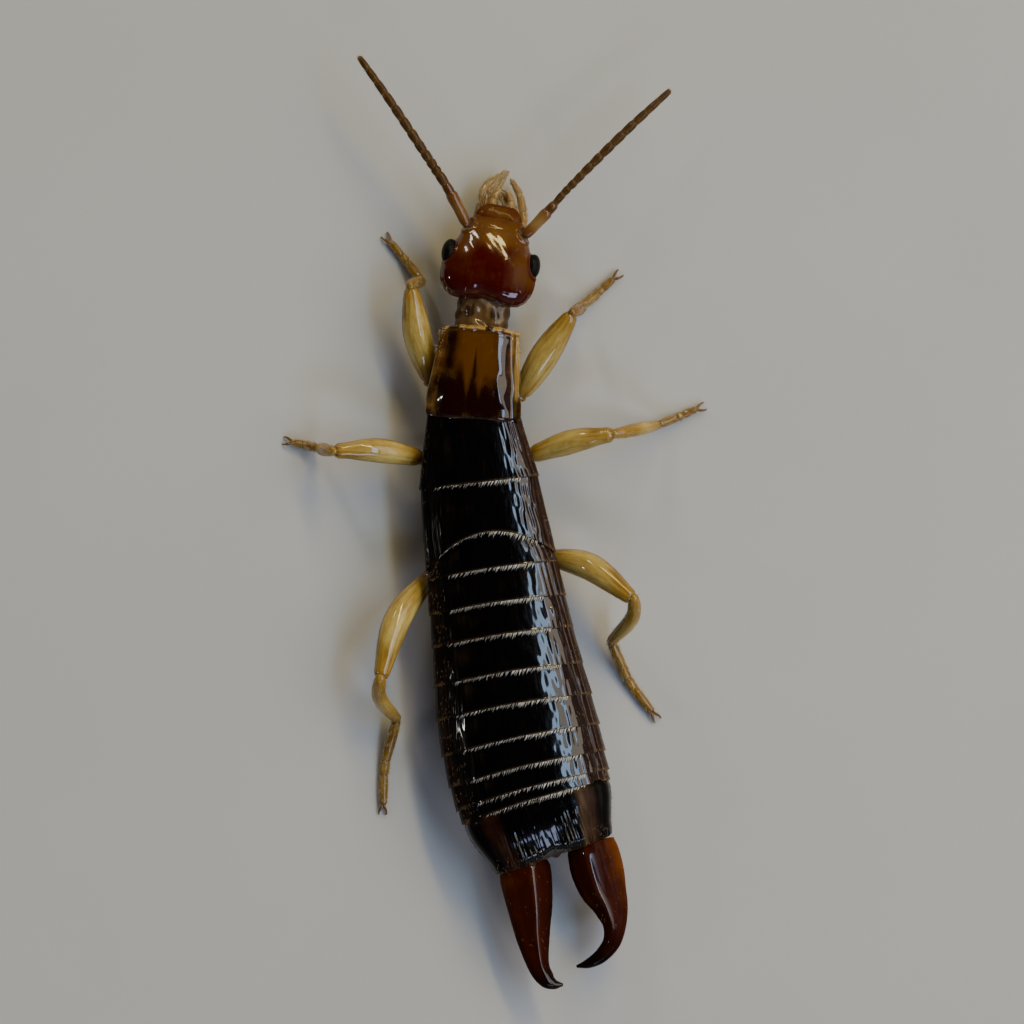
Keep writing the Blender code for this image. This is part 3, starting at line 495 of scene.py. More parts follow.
def planted(skin, v, u, draw, length, radius, lean, cell, slant=0.0):
    """Bristles at places on a skin, given as rows and columns of its lattice."""
    grid, count = skin.grid, len(u)
    normal = normals_of(grid, skin.loop)
    onward = np.gradient(grid, axis=0)
    onward /= np.maximum(np.linalg.norm(onward, axis=-1, keepdims=True), 1e-12)
    i, j = v.astype(int), u.astype(int)
    i = np.minimum(i, grid.shape[0] - 2)
    after = (j + 1) % grid.shape[1]
    fi, fj = (v - i)[:, None], (u - j)[:, None]
    low = grid[i, j] * (1 - fj) + grid[i, after] * fj
    high = grid[i + 1, j] * (1 - fj) + grid[i + 1, after] * fj
    roots = low * (1 - fi) + high * fi
    scatter = draw.normal(0, BRISTLE_SCATTER, (count, 3))
    lift = normal[i, j]
    lie = lift * (1 - lean) + onward[i, j] * lean + np.cross(onward[i, j], lift) * slant + scatter
    lie /= np.linalg.norm(lie, axis=-1, keepdims=True)
    lengths = length * draw.uniform(SHORTEST, LONGEST, count)
    first, strips = cell
    places = np.stack([(first + 0.02 + 0.96 * u / grid.shape[1]) / strips, 0.99 * v / grid.shape[0]], axis=1)
    roots = roots - lift * radius * BRISTLE_SINK
    return Tuft(roots, lie, lift, lengths, np.full(count, radius), places)


def make_bristles(name, tufts, material):
    """Many bristles as one mesh, each a bent three-sided spike with its own patch of the map."""
    tuft = Tuft(*(np.concatenate(parts) for parts in zip(*tufts)))
    count = len(tuft.roots)
    side = np.cross(tuft.lie, tuft.lift)
    side /= np.maximum(np.linalg.norm(side, axis=-1, keepdims=True), 1e-9)
    over = np.cross(side, tuft.lie)
    points, places = [], []
    for share, width in BRISTLE_RINGS:
        droop = -tuft.lift * BRISTLE_DROOP * share**2
        centre = tuft.roots + (tuft.lie * share + droop) * tuft.lengths[:, None]
        for corner in range(BRISTLE_SIDES):
            angle = 2 * math.pi * corner / BRISTLE_SIDES
            out = side * math.cos(angle) + over * math.sin(angle)
            points.append(centre + out * (tuft.radii * width)[:, None])
            places.append(tuft.places + PATCH * np.array((corner / BRISTLE_SIDES, share)))
    points.append(tuft.roots + (tuft.lie - tuft.lift * BRISTLE_DROOP) * tuft.lengths[:, None])
    places.append(tuft.places + PATCH * np.array((0.5, 1.0)))
    each = len(points)
    corners = np.arange(BRISTLE_SIDES)
    after = (corners + 1) % BRISTLE_SIDES
    quad = np.stack([corners, after, after + BRISTLE_SIDES, corners + BRISTLE_SIDES], axis=1)
    quads = np.concatenate([quad + BRISTLE_SIDES * ring for ring in range(len(BRISTLE_RINGS) - 1)])
    last = BRISTLE_SIDES * (len(BRISTLE_RINGS) - 1)
    tips = np.stack([corners + last, after + last, np.full(BRISTLE_SIDES, each - 1)], axis=1)
    foot = corners[::-1][None]
    offsets = (np.arange(count) * each)[:, None, None]
    faces = []
    for pattern in (quads, tips, foot):
        faces += (pattern[None] + offsets).reshape(-1, pattern.shape[1]).tolist()
    obj = piece_from(name, np.stack(points, axis=1).reshape(-1, 3), faces, material)
    layer = obj.data.uv_layers.new(name="OFBake")
    corner_point = np.zeros(len(obj.data.loops), np.int32)
    obj.data.loops.foreach_get("vertex_index", corner_point)
    spots = np.stack(places, axis=1).reshape(-1, 2)[corner_point]
    layer.data.foreach_set("uv", np.clip(spots, 0, 1).astype(np.float32).ravel())


# Finishes

def feed(tree, node, inputs):
    """Sets a node's inputs to values or links them to sockets."""
    for key, value in inputs.items():
        if isinstance(value, bpy.types.NodeSocket):
            tree.links.new(value, node.inputs[key])
        else:
            node.inputs[key].default_value = value


def add(tree, kind, inputs=None, **settings):
    node = tree.nodes.new(kind)
    for key, value in settings.items():
        setattr(node, key, value)
    feed(tree, node, inputs or {})
    return node


def sums(tree, operation, *values):
    inputs = dict(enumerate(values))
    return add(tree, "ShaderNodeMath", inputs, operation=operation).outputs[0]


def blended(tree, share, low, high):
    node = add(tree, "ShaderNodeMix", {0: share, 6: low, 7: high}, data_type="RGBA")
    return node.outputs[2]


def ramped(tree, value, low, high, to_low=0.0, to_high=1.0):
    inputs = {"Value": value, "From Min": low, "From Max": high, "To Min": to_low, "To Max": to_high}
    return add(tree, "ShaderNodeMapRange", inputs, interpolation_type="SMOOTHSTEP").outputs[0]


def mark_of(tree, name):
    return add(tree, "ShaderNodeAttribute", attribute_name=name).outputs["Fac"]


def new_group(name, inputs, outputs):
    tree = bpy.data.node_groups.new(name, "ShaderNodeTree")
    for label, value in inputs.items():
        kind = "NodeSocketColor" if isinstance(value, tuple) else "NodeSocketFloat"
        tree.interface.new_socket(name=label, in_out="INPUT", socket_type=kind).default_value = value
    for label, kind in outputs.items():
        tree.interface.new_socket(name=label, in_out="OUTPUT", socket_type=kind)
    return tree, tree.nodes.new("NodeGroupInput").outputs, tree.nodes.new("NodeGroupOutput").inputs


def noise(tree, vector, scale, detail=2.0, roughness=0.5):
    inputs = {"Vector": vector, "Scale": scale, "Detail": detail, "Roughness": roughness}
    return add(tree, "ShaderNodeTexNoise", inputs).outputs["Fac"]


def spot_in_mm(tree):
    spot = add(tree, "ShaderNodeTexCoord").outputs["Object"]
    return add(tree, "ShaderNodeVectorMath", {0: spot, "Scale": 1 / MM}, operation="SCALE").outputs[0]


def strands(tree, across, along):
    """Places for marks that are drawn out along a piece."""
    lane = sums(tree, "MULTIPLY", mark_of(tree, "lane"), across)
    run = sums(tree, "MULTIPLY", mark_of(tree, "run"), along)
    return add(tree, "ShaderNodeCombineXYZ", {0: lane, 1: run}).outputs[0]


def make_grain_group():
    """The relief of horny skin: pores, hairlines along the piece and soft dents, and its mottling."""
    inputs = {"Pores per mm": 12.0, "Pore Depth": 0.2, "Hairline Depth": 0.2, "Dent Depth": 0.3}
    outputs = dict.fromkeys(("Height", "Mottle", "Streak"), "NodeSocketFloat")
    tree, given, result = new_group("horn_grain", inputs, outputs)
    spot = spot_in_mm(tree)
    cells = {"Vector": spot, "Scale": given["Pores per mm"]}
    pore = add(tree, "ShaderNodeTexVoronoi", cells).outputs["Distance"]
    pores = sums(tree, "MULTIPLY", ramped(tree, pore, 0.05, 0.30), given["Pore Depth"])
    lines = noise(tree, strands(tree, 16.0, 1.6), 1.0, 4.0, 0.6)
    hairlines = sums(tree, "MULTIPLY", lines, given["Hairline Depth"])
    dents = sums(tree, "MULTIPLY", noise(tree, spot, 2.4, 3.0), given["Dent Depth"])
    total = sums(tree, "ADD", sums(tree, "ADD", pores, hairlines), dents)
    tree.links.new(total, result["Height"])
    tree.links.new(noise(tree, spot, 1.7, 4.0, 0.6), result["Mottle"])
    tree.links.new(noise(tree, strands(tree, 11.0, 0.9), 1.0, 3.0, 0.6), result["Streak"])
    return tree


def make_tone_group():
    """The colour of horny skin between its clear, deep and pale tones, with uneven edges."""
    inputs = {
        "Horn": (0.5, 0.5, 0.5, 1.0),
        "Deep": (0.1, 0.1, 0.1, 1.0),
        "Pale": (0.8, 0.8, 0.8, 1.0),
        "Deep Share": 0.0,
        "Pale Share": 0.0,
        "Mottle": 0.5,
        "Blotch": 0.3,
        "Streak": 0.5,
        "Streak Depth": 0.3,
    }
    tree, given, result = new_group("horn_tone", inputs, {"Colour": "NodeSocketColor"})
    blotches = sums(tree, "MULTIPLY", sums(tree, "SUBTRACT", given["Mottle"], 0.5), given["Blotch"])
    streaks = sums(tree, "MULTIPLY", sums(tree, "SUBTRACT", given["Streak"], 0.5), given["Streak Depth"])
    stray = sums(tree, "ADD", blotches, streaks)
    deep = ramped(tree, sums(tree, "ADD", given["Deep Share"], stray), 0.0, 1.0)
    pale = ramped(tree, sums(tree, "SUBTRACT", given["Pale Share"], stray), 0.0, 1.0)
    body = blended(tree, deep, given["Horn"], given["Deep"])
    tree.links.new(blended(tree, pale, body, given["Pale"]), result["Colour"])
    return tree


PALE_SOFTENS = 0.12
DULL_SOFTENS = 0.28
LEAST_ROUGHNESS = 0.04
DULL_COAT = 0.02


def make_gloss_group():
    """Roughness with smears of oil and dust, and a coat that is thin where the horn is dull."""
    inputs = {"Roughness": 0.3, "Smear": 0.1, "Mottle": 0.5, "Coat": 1.0}
    inputs.update({"Pale Share": 0.0, "Dull Share": 0.0})
    outputs = dict.fromkeys(("Roughness", "Coat"), "NodeSocketFloat")
    tree, given, result = new_group("handled_gloss", inputs, outputs)
    stray = sums(tree, "MULTIPLY", sums(tree, "SUBTRACT", given["Mottle"], 0.4), given["Smear"])
    soft = sums(tree, "MULTIPLY", given["Pale Share"], PALE_SOFTENS)
    soft = sums(tree, "ADD", soft, sums(tree, "MULTIPLY", given["Dull Share"], DULL_SOFTENS))
    total = sums(tree, "ADD", sums(tree, "ADD", given["Roughness"], stray), soft)
    tree.links.new(sums(tree, "MAXIMUM", total, LEAST_ROUGHNESS), result["Roughness"])
    clear = ramped(tree, given["Dull Share"], 0.0, 1.0, 1.0, DULL_COAT)
    tree.links.new(sums(tree, "MULTIPLY", clear, given["Coat"]), result["Coat"])
    return tree


# A finish's three tones, its gloss, its relief in millimetres and how deep each kind of mark is, how blotched
# and streaked its colour is, and how much light goes through it.
Finish = namedtuple(
    "Finish", "horn deep pale roughness coat depth pores pore hairline dent blotch streak glow"
)
FINISHES = {
    "head_horn": Finish(
        (0.116, 0.040, 0.0028), (0.054, 0.0016, 0.0005), (0.34, 0.165, 0.026),
        0.15, 1.0, 0.008, 14.0, 0.15, 0.25, 0.9, 0.6, 0.25, 0.10,
    ),
    "pronotum_horn": Finish(
        (0.104, 0.036, 0.0022), (0.0120, 0.0016, 0.0006), (0.50, 0.29, 0.070),
        0.15, 1.0, 0.010, 12.0, 0.08, 0.15, 0.7, 0.8, 0.3, 0.06,
    ),
    "back_horn": Finish(
        (0.024, 0.0048, 0.0014), (0.0016, 0.0010, 0.0010), (0.22, 0.135, 0.060),
        0.14, 1.0, 0.010, 13.0, 0.12, 0.75, 0.7, 0.25, 0.25, 0.0,
    ),
    "belly_horn": Finish(
        (0.090, 0.032, 0.009), (0.022, 0.0070, 0.0025), (0.30, 0.19, 0.09),
        0.28, 0.7, 0.012, 10.0, 0.3, 0.30, 0.4, 0.6, 0.3, 0.06,
    ),
    "forceps_horn": Finish(
        (0.042, 0.0058, 0.0016), (0.0050, 0.0014, 0.0009), (0.20, 0.055, 0.008),
        0.15, 1.0, 0.008, 11.0, 0.2, 0.20, 0.5, 0.5, 0.4, 0.04,
    ),
    "leg_horn": Finish(
        (0.325, 0.185, 0.024), (0.090, 0.030, 0.0050), (0.64, 0.49, 0.150),
        0.24, 1.0, 0.012, 12.0, 0.2, 0.65, 0.6, 0.6, 1.3, 0.20,
    ),
    "feeler_horn": Finish(
        (0.140, 0.048, 0.0070), (0.045, 0.015, 0.0035), (0.34, 0.21, 0.065),
        0.26, 0.8, 0.008, 20.0, 0.3, 0.30, 0.3, 0.5, 0.4, 0.10,
    ),
    "flagellum_horn": Finish(
        (0.112, 0.056, 0.0110), (0.042, 0.017, 0.0040), (0.26, 0.17, 0.055),
        0.46, 0.2, 0.008, 20.0, 0.4, 0.30, 0.3, 0.5, 0.5, 0.08,
    ),
    "mouth_horn": Finish(
        (0.290, 0.165, 0.050), (0.100, 0.030, 0.005), (0.46, 0.32, 0.15),
        0.36, 0.5, 0.012, 16.0, 0.3, 0.70, 0.6, 1.0, 0.8, 0.22,
    ),
    "joint_skin": Finish(
        (0.140, 0.076, 0.025), (0.030, 0.013, 0.004), (0.37, 0.26, 0.13),
        0.36, 0.7, 0.020, 9.0, 0.3, 0.80, 0.8, 0.9, 0.6, 0.10,
    ),
}
GLOW_RADIUS = (0.9, 0.45, 0.15)
GLOW_SCALE = 0.4
COAT_ROUGHNESS = 0.07
HORN_IOR = 1.55
HORN_SPECULAR = 0.06
FORCEPS_SPECULAR = 0.02


def new_finish(name):
    """A new material with its nodes and its main shader."""
    material = bpy.data.materials.new(name)
    material.use_nodes = True
    return material, material.node_tree, material.node_tree.nodes["Principled BSDF"]


def make_finish(name, groups):
    finish = FINISHES[name]
    material, tree, shader = new_finish(name)
    grain = add(tree, "ShaderNodeGroup", {
        "Pores per mm": finish.pores,
        "Pore Depth": finish.pore,
        "Hairline Depth": finish.hairline,
        "Dent Depth": finish.dent,
    }, node_tree=groups["grain"]).outputs
    shares = {"Mottle": grain["Mottle"], "Pale Share": mark_of(tree, "pale")}
    tone = add(tree, "ShaderNodeGroup", {
        "Horn": (*finish.horn, 1.0),
        "Deep": (*finish.deep, 1.0),
        "Pale": (*finish.pale, 1.0),
        "Deep Share": mark_of(tree, "deep"),
        "Blotch": finish.blotch,
        "Streak": grain["Streak"],
        "Streak Depth": finish.streak,
        **shares,
    }, node_tree=groups["tone"]).outputs
    gloss = add(tree, "ShaderNodeGroup", {
        "Roughness": finish.roughness,
        "Coat": finish.coat,
        "Dull Share": mark_of(tree, "dull"),
        **shares,
    }, node_tree=groups["gloss"]).outputs
    relief = add(tree, "ShaderNodeBump", {"Height": grain["Height"], "Distance": finish.depth * MM})
    feed(tree, shader, {
        "Base Color": tone["Colour"],
        "Roughness": gloss["Roughness"],
        "Coat Weight": gloss["Coat"],
        "Coat Roughness": COAT_ROUGHNESS,
        "Normal": relief.outputs[0],
        "IOR": HORN_IOR,
        "Specular IOR Level": FORCEPS_SPECULAR if name == "forceps_horn" else HORN_SPECULAR,
        "Subsurface Weight": finish.glow,
        "Subsurface Radius": GLOW_RADIUS,
        "Subsurface Scale": GLOW_SCALE * MM,
    })
    return material


def make_bristle_finish(name, root, tip):
    """Fine horn bristles, lighter here and there."""
    material, tree, shader = new_finish(name)
    share = ramped(tree, noise(tree, spot_in_mm(tree), 9.0), 0.35, 0.65)
    feed(tree, shader, {
        "Base Color": blended(tree, share, (*root, 1.0), (*tip, 1.0)),
        "Roughness": ramped(tree, share, 0.0, 1.0, 0.28, 0.42),
        "Coat Weight": 0.3,
    })
    return material


def make_eye_finish():
    """Black facets with a satin cornea, greyer between them."""
    material, tree, shader = new_finish("eye_lens")
    haze = noise(tree, spot_in_mm(tree), 3.0, 3.0)
    grey = ramped(tree, haze, 0.35, 0.7)
    facet = blended(tree, grey, (0.0016, 0.0014, 0.0015, 1), (0.0060, 0.0055, 0.0045, 1))
    seam = ramped(tree, mark_of(tree, "deep"), 0.2, 1.0)
    feed(tree, shader, {
        "Base Color": blended(tree, seam, facet, (0.008, 0.007, 0.006, 1)),
        "Roughness": ramped(tree, haze, 0.3, 0.7, 0.16, 0.26),
        "Specular IOR Level": 0.06,
        "Coat Weight": 0.10,
        "Coat Roughness": 0.05,
    })
    return material


# Head

def in_head(grid):
    """A lattice of the head's own frame (across, forward, up) in the row frame."""
    return head_axis(-grid[..., 1], grid[..., 0], grid[..., 2])


def head_lattice(across, back, up, relief):
    return in_head(raised(np.stack(np.broadcast_arrays(across, -back, up), axis=-1), relief, True))


CORONAL_SUTURE = ((0.0, 3.2), (0.0, 2.25), (0.40, 1.92), (0.78, 1.42), (0.96, 1.12))


def head_skin():
    share = np.linspace(0, 1, 180)[:, None]
    front, rear = HEAD_SECTIONS[0][0], HEAD_SECTIONS[-1][0]
    back = front + (rear - front) * (share + 0.10 * np.sin(2 * math.pi * share) / 2)
    half_width, top, bottom = flow(HEAD_SECTIONS, back)
    angle = round_columns(260)
    across, up = oval(angle, half_width, top, bottom, 0.85)
    drawn_in = HEAD_NOTCH * np.clip((back - HEAD_NOTCH_START) / (rear - HEAD_NOTCH_START), 0, 1)
    back = back - drawn_in * np.exp(-((across / HEAD_NOTCH_WIDTH) ** 2))
    width = np.abs(across)
    above = fade(np.sin(angle), -0.1, 0.35)
    relief = -0.005 * bump(near_line(width, back, CORONAL_SUTURE), 0, 0.035) * above
    relief -= 0.008 * bump(back - 0.74 - 0.08 * np.cos(1.6 * across), 0, 0.05) * above
    relief -= 0.008 * mound(width - 0.50, (back - 1.30) / 1.5, 0.26) * above
    relief += 0.018 * mound(width - 0.72, back - 2.35, 0.55) * above
    scratches = 0.0014 * uneven(across * 25 - back * 23, across * 2.4 + back * 2.6, 7)
    relief += scratches * above * fade(back, 1.9, 1.3)
    relief += 0.0014 * uneven(across * 30, back * 12, 4) * fade(back + 0.3 * width, 2.40, 2.75) * above
    relief += 0.003 * uneven(across * 30, back * 30, 6) * bump(back, 0.60, 0.14) * above
    socket = radii_from(ANTENNA_SOCKET, (1, 1, 1), (width, back, up))
    relief += 0.055 * bump(socket, 0.27, 0.06) - 0.10 * bump(socket, 0, 0.17)
    from_eye = radii_from(EYE_PLACE, EYE_RADII, (width, back, up))
    relief += 0.030 * bump(from_eye, 1.10, 0.12) - 0.03 * fade(1.02 - from_eye, 0, 0.35)
    relief += 0.060 * mound(across - 1.18, back - EYE_PLACE[1], 0.34) * above
    relief += 0.006 * uneven(across * 9, back * 9, 3)
    vertex = fade(back - 0.35 * np.cos(1.4 * across), 0.85, 1.35)
    temple = fade(width + 0.12 * uneven(across * 3, back * 3, 8), 0.40, 0.95) * fade(back, 2.95, 2.2)
    # On the left the temple's lighter tone is mostly taken away: painted shade on the side away from the
    # light.
    temple = temple * (1 - 0.65 * fade(-across, 0.2, 0.6) * fade(back, 1.6, 2.1))
    deep = vertex * (1.0 - 0.72 * temple)
    deep = np.maximum(deep, 0.75 * bump(from_eye, 1.2, 0.18))
    deep = np.maximum(deep, 0.30 * fade(back, 0.66, 0.50) * above)
    pale = 0.32 * mound(width, back - 1.00, 0.50) * above
    grid = head_lattice(across, back, up, relief)
    dull = fade(across, 0.35, 0.60) * fade(back, 1.50, 1.80) * fade(back, 2.80, 2.60)
    dull = np.maximum(dull, 0.55 * fade(back, 1.00, 0.80))
    dull = np.maximum(dull, turned_away(grid, True))
    return Skin(grid, True, True, {"deep": deep, "pale": pale, "dull": dull})


def make_head(paint):
    skin = head_skin()
    make_shell("head_capsule", [skin], paint["head_horn"], ["head"])
    tufts = [
        sown(skin, 12, 11, 0.12, 0.005, 0.60, rows=(0.05, 0.35), columns=(0.28, 0.72)),
        *on_both_sides(skin, 70, (12, 14), 0.11, 0.005, 0.60, (0.0, 0.24), rows=(0.05, 0.95)),
        sown(skin, 6, 13, 0.26, 0.008, 0.35, rows=(0.84, 0.93), columns=(0.22, 0.78)),
    ]
    make_bristles("head_bristles", tufts, paint["bristle_gold"])


def make_eyes(paint):
    """Compound eyes, set into the sides of the head. The points of a coarse ball are the middles of
    the lenses on a fine one."""
    balls = []
    for detail in (4, 6):
        ball = bmesh.new()
        bmesh.ops.create_icosphere(ball, subdivisions=detail, radius=1)
        balls.append((np.array([v.co for v in ball.verts]), [[v.index for v in f.verts] for f in ball.faces]))
        ball.free()
    lenses = balls[0][0]
    points, faces = balls[1]
    apart = np.arccos(np.clip((points @ lenses.T).max(axis=1), -1, 1))
    seam = fade(apart / apart.max(), 0.55, 1.0)
    domed = points * (1 - 0.035 * (apart / apart.max()) ** 2)[:, None]
    for side, hand in (("left", -1), ("right", 1)):
        centre = np.array((hand * EYE_PLACE[0], -EYE_PLACE[1], EYE_PLACE[2]))
        places = in_head(centre + domed * np.array(EYE_RADII))
        eye = piece_from(f"eye_{side}_facets", places, faces, paint["eye_lens"], [f"eye_{side}"])
        eye.data.attributes.new("deep", "FLOAT", "POINT").data.foreach_set("value", seam.astype(np.float32))


def jointed(path, shares, radii, rows=18, sides=20, flat=1.0, waist=0.78, marks=None):
    """A chain of segments along a path, each pinched at its joints."""
    ends = np.concatenate([[0.0], np.cumsum(shares)]) / sum(shares)
    length = path_length(path)
    skins = []
    for near, far in zip(ends, ends[1:]):
        lap = 0.45 * float(flow(radii, near)[0])
        stops = np.clip((near * length - lap, far * length + lap), 0, length)
        run = along_path(path, np.linspace(*stops, 10))
        first, last = flow(radii, np.array((near, far)))[0]
        swell = (
            (0, waist * first), (0.14, 0.97 * first), (0.80, 1.06 * last),
            (0.95, 0.95 * last), (1, 0.8 * last),
        )
        skins.append(limb_skin(run, swell, rows, sides, flat, marks=marks))
    return skins


def head_path(points, hand=1, steps=10):
    """A path in the row frame through points of the head's frame: across, back from the labrum, and up."""
    path = smooth_path([(hand * across, -back, up) for across, back, up in points], steps)
    return in_head(path)


LABRUM_SECTIONS = (
    (-0.02, 0.22, -0.11, -0.16), (0.00, 0.38, -0.06, -0.18), (0.05, 0.51, -0.01, -0.21),
    (0.14, 0.62, 0.04, -0.24), (0.28, 0.72, 0.10, -0.27), (0.42, 0.76, 0.14, -0.29),
    (0.56, 0.79, 0.15, -0.30),
)


def labrum_skin():
    back = np.linspace(-0.02, 0.56, 44)[:, None]
    half_width, top, bottom = flow(LABRUM_SECTIONS, back)
    angle = round_columns(96)
    across, up = oval(angle, half_width, top, bottom, 0.8)
    relief = -0.008 * mound(across, back - 0.10, 0.16) + 0.006 * bump(np.abs(across), 0.42, 0.16)
    relief += 0.003 * uneven(across * 16, back * 16, 5)
    deep = 0.42 + 0.15 * fade(back, 0.30, 0.48) + 0.25 * fade(back, 0.12, 0.0)
    grid = head_lattice(across, back, up, relief)
    return Skin(grid, True, True, {"deep": deep, "pale": 0.06, "dull": 0.85})


# The soft lobes of the maxillae, in the head's frame.
GALEAE = (
    ((0.40, 0.40, -0.60), (0.44, -0.10, -0.66), (0.38, -0.58, -0.74), (0.12, -1.10, -0.84)),
    ((0.36, 0.40, -0.60), (0.34, 0.02, -0.68), (0.16, -0.30, -0.72), (-0.12, -0.56, -0.74)),
)


def creased(share, angle):
    """The swelling of a lobe, in lengthwise creases."""
    return 1 + 0.13 * uneven(22 * np.cos(angle), 9 * share, 24) * fade(share, 0.0, 0.2)


def make_mouthparts(paint):
    """The labrum over closed mandibles, with pale galeae and labial palps below them."""
    labrum = labrum_skin()
    make_shell("labrum_plate", [labrum], paint["head_horn"], ["mouthparts"])
    jaws, lobes, feelers = [], [], []
    for hand, galea, reach in zip((-1, 1), GALEAE, (0.33, 0.19)):
        route = ((0.46, 0.50, -0.26), (0.50, 0.30, -0.28), (0.38, 0.12, -0.29), (0.08, 0.03, -0.30))
        radii = ((0, 0.20), (0.4, 0.19), (0.75, 0.11), (1, 0.04))
        marks = {"deep": lambda share, angle: 0.35 + 0.65 * fade(share, 0.55, 0.95)}
        jaws.append(limb_skin(head_path(route, hand), radii, 36, 24, 0.75, marks=marks))
        radii = ((0, 0.6 * reach), (0.35, reach), (0.7, 0.85 * reach), (1, 0.25 * reach))
        marks = {
            "pale": lambda share, angle: 0.32 + 0.3 * share
            + 0.45 * uneven(18 * np.cos(angle), 5 * share, 25),
            "deep": lambda share, angle: 0.20 + 0.50 * uneven(20 * np.cos(angle), 6 * share, 23),
        }
        lobes.append(limb_skin(head_path(galea, hand), radii, 70, 64, 0.5, creased, marks))
        route = ((0.22, 0.34, -0.42), (0.30, -0.10, -0.46), (0.24, -0.36, -0.48), (0.10, -0.56, -0.50))
        radii = ((0, 0.11), (0.5, 0.12), (1, 0.07))
        marks = {"pale": lambda share, angle: 0.25 + 0.5 * fade(share, 0.7, 1)}
        feelers += jointed(head_path(route, hand), (0.8, 1.0, 1.2), radii, marks=marks)
    make_shell("mandibles", jaws, paint["mouth_horn"])
    make_shell("galeae", lobes, paint["mouth_horn"])
    make_shell("labial_palps", feelers, paint["mouth_horn"])
    tufts = [fringe(labrum, 3, 0.05, 21, 0.16, 0.006, -0.7, columns=(0.3, 0.7))]
    for k, lobe in enumerate(lobes):
        tufts.append(sown(lobe, 1000 - 450 * k, 22 + k, 0.26, 0.009, 0.74, (0.12, 0.99), cell=(k + 1, 7)))
    for k, feeler in enumerate(feelers):
        tufts.append(sown(feeler, 26, 26 + k, 0.10, 0.005, 0.6, cell=(k % 7, 7)))
    make_bristles("mouth_bristles", tufts, paint["bristle_gold"])


def make_palps(paint):
    for side, route in MAXILLARY_PALPS.items():
        thick = 0.165 if side == "left" else 0.125
        radii = ((0, thick), (0.3, 1.05 * thick), (0.7, 0.95 * thick), (1, 0.6 * thick))
        marks = {
            "pale": lambda share, angle: 0.25 + 0.5 * fade(share, 0.75, 1.0) + 0.3 * bump(share, 0, 0.08),
            "deep": lambda share, angle: 0.35 * bump(share, 0.86, 0.06),
        }
        skins = jointed(head_path(route), (0.5, 0.45, 1.15, 1.05, 1.0), radii, 26, 24, 0.85, 0.86, marks)
        name = f"palp_{side}"
        make_shell(f"{name}_segments", skins, paint["mouth_horn"], [name])
        tufts = []
        for k, skin in enumerate(skins):
            tufts.append(sown(skin, 110, 40 + k, 0.15, 0.0065, 0.62, cell=(k, len(skins))))
        make_bristles(f"{name}_bristles", tufts, paint["bristle_gold"])


FLAGELLUM_LENGTHS = (0.55, 0.26, 0.30, 0.36, 0.42, 0.46, 0.50, 0.52, 0.53, 0.53, 0.53, 0.54)


def make_antennae(paint):
    """A stout scape, a short pedicel and a chain of segments that are pale at their joints."""
    for side, hand in (("left", -1), ("right", 1)):
        across, back, up = ANTENNA_SOCKET
        socket = in_head(np.array((hand * across * 0.84, -back - 0.22, up)))
        path = smooth_path([socket, *ANTENNAE[side]], 12)
        bend = path_length(path[:13])
        total = path_length(path)
        scape = along_path(path, np.linspace(0.12, bend, 16))
        radii = ((0, 0.11), (0.12, 0.15), (0.55, 0.175), (0.86, 0.188), (0.96, 0.17), (1, 0.15))
        # The right scape is painted paler than the left: painted light on the side the light falls on.
        marks = {
            "deep": lambda share, angle: 0.85 * bump(share, 1, 0.05) + 0.35 * bump(share, 0.05, 0.12),
            "pale": lambda share, angle: (0.30 if side == "left" else 0.60) * bump(share, 0.55, 0.30),
        }
        stalk = [limb_skin(scape, radii, 50, 32, 0.92, marks=marks)]
        pedicel = along_path(path, np.linspace(bend - 0.22, bend + 0.30, 8))
        radii = ((0, 0.14), (0.3, 0.155), (0.8, 0.150), (1, 0.13))
        marks = {"deep": lambda share, angle: 0.5 + 0 * share}
        stalk.append(limb_skin(pedicel, radii, 16, 24, marks=marks))
        rest = along_path(path, np.linspace(bend + 0.13, total - 0.01, 60))
        marks = {
            "pale": lambda share, angle: 0.6 * fade(share, 0.92, 0.99) + 0.4 * fade(share, 0.07, 0.02),
            "deep": lambda share, angle: 0.20 + 0.4 * bump(share, 0.55, 0.35),
        }
        first, second = (0.145, 0.140) if side == "left" else (0.100, 0.122)
        radii = ((0, first), (0.25, second), (0.6, 0.132), (0.85, 0.112), (1, 0.088))
        lash = jointed(rest, FLAGELLUM_LENGTHS, radii, 22, 20, waist=0.90, marks=marks)
        name = f"antenna_{side}"
        make_shell(f"{name}_scape", stalk, paint["feeler_horn"], [name])
        make_shell(f"{name}_flagellum", lash, paint["flagellum_horn"])
        skins = stalk + lash
        tufts = []
        for k, skin in enumerate(skins):
            cell = (k, len(skins))
            tufts.append(sown(skin, 150 if k == 0 else 95, 60 + k, 0.085, 0.0045, 0.7, cell=cell))
            tufts.append(sown(skin, 9, 90 + k, 0.16, 0.006, 0.5, rows=(0.7, 0.95), cell=cell))
        make_bristles(f"{name}_bristles", tufts, paint["bristle_brown"])


# Thorax

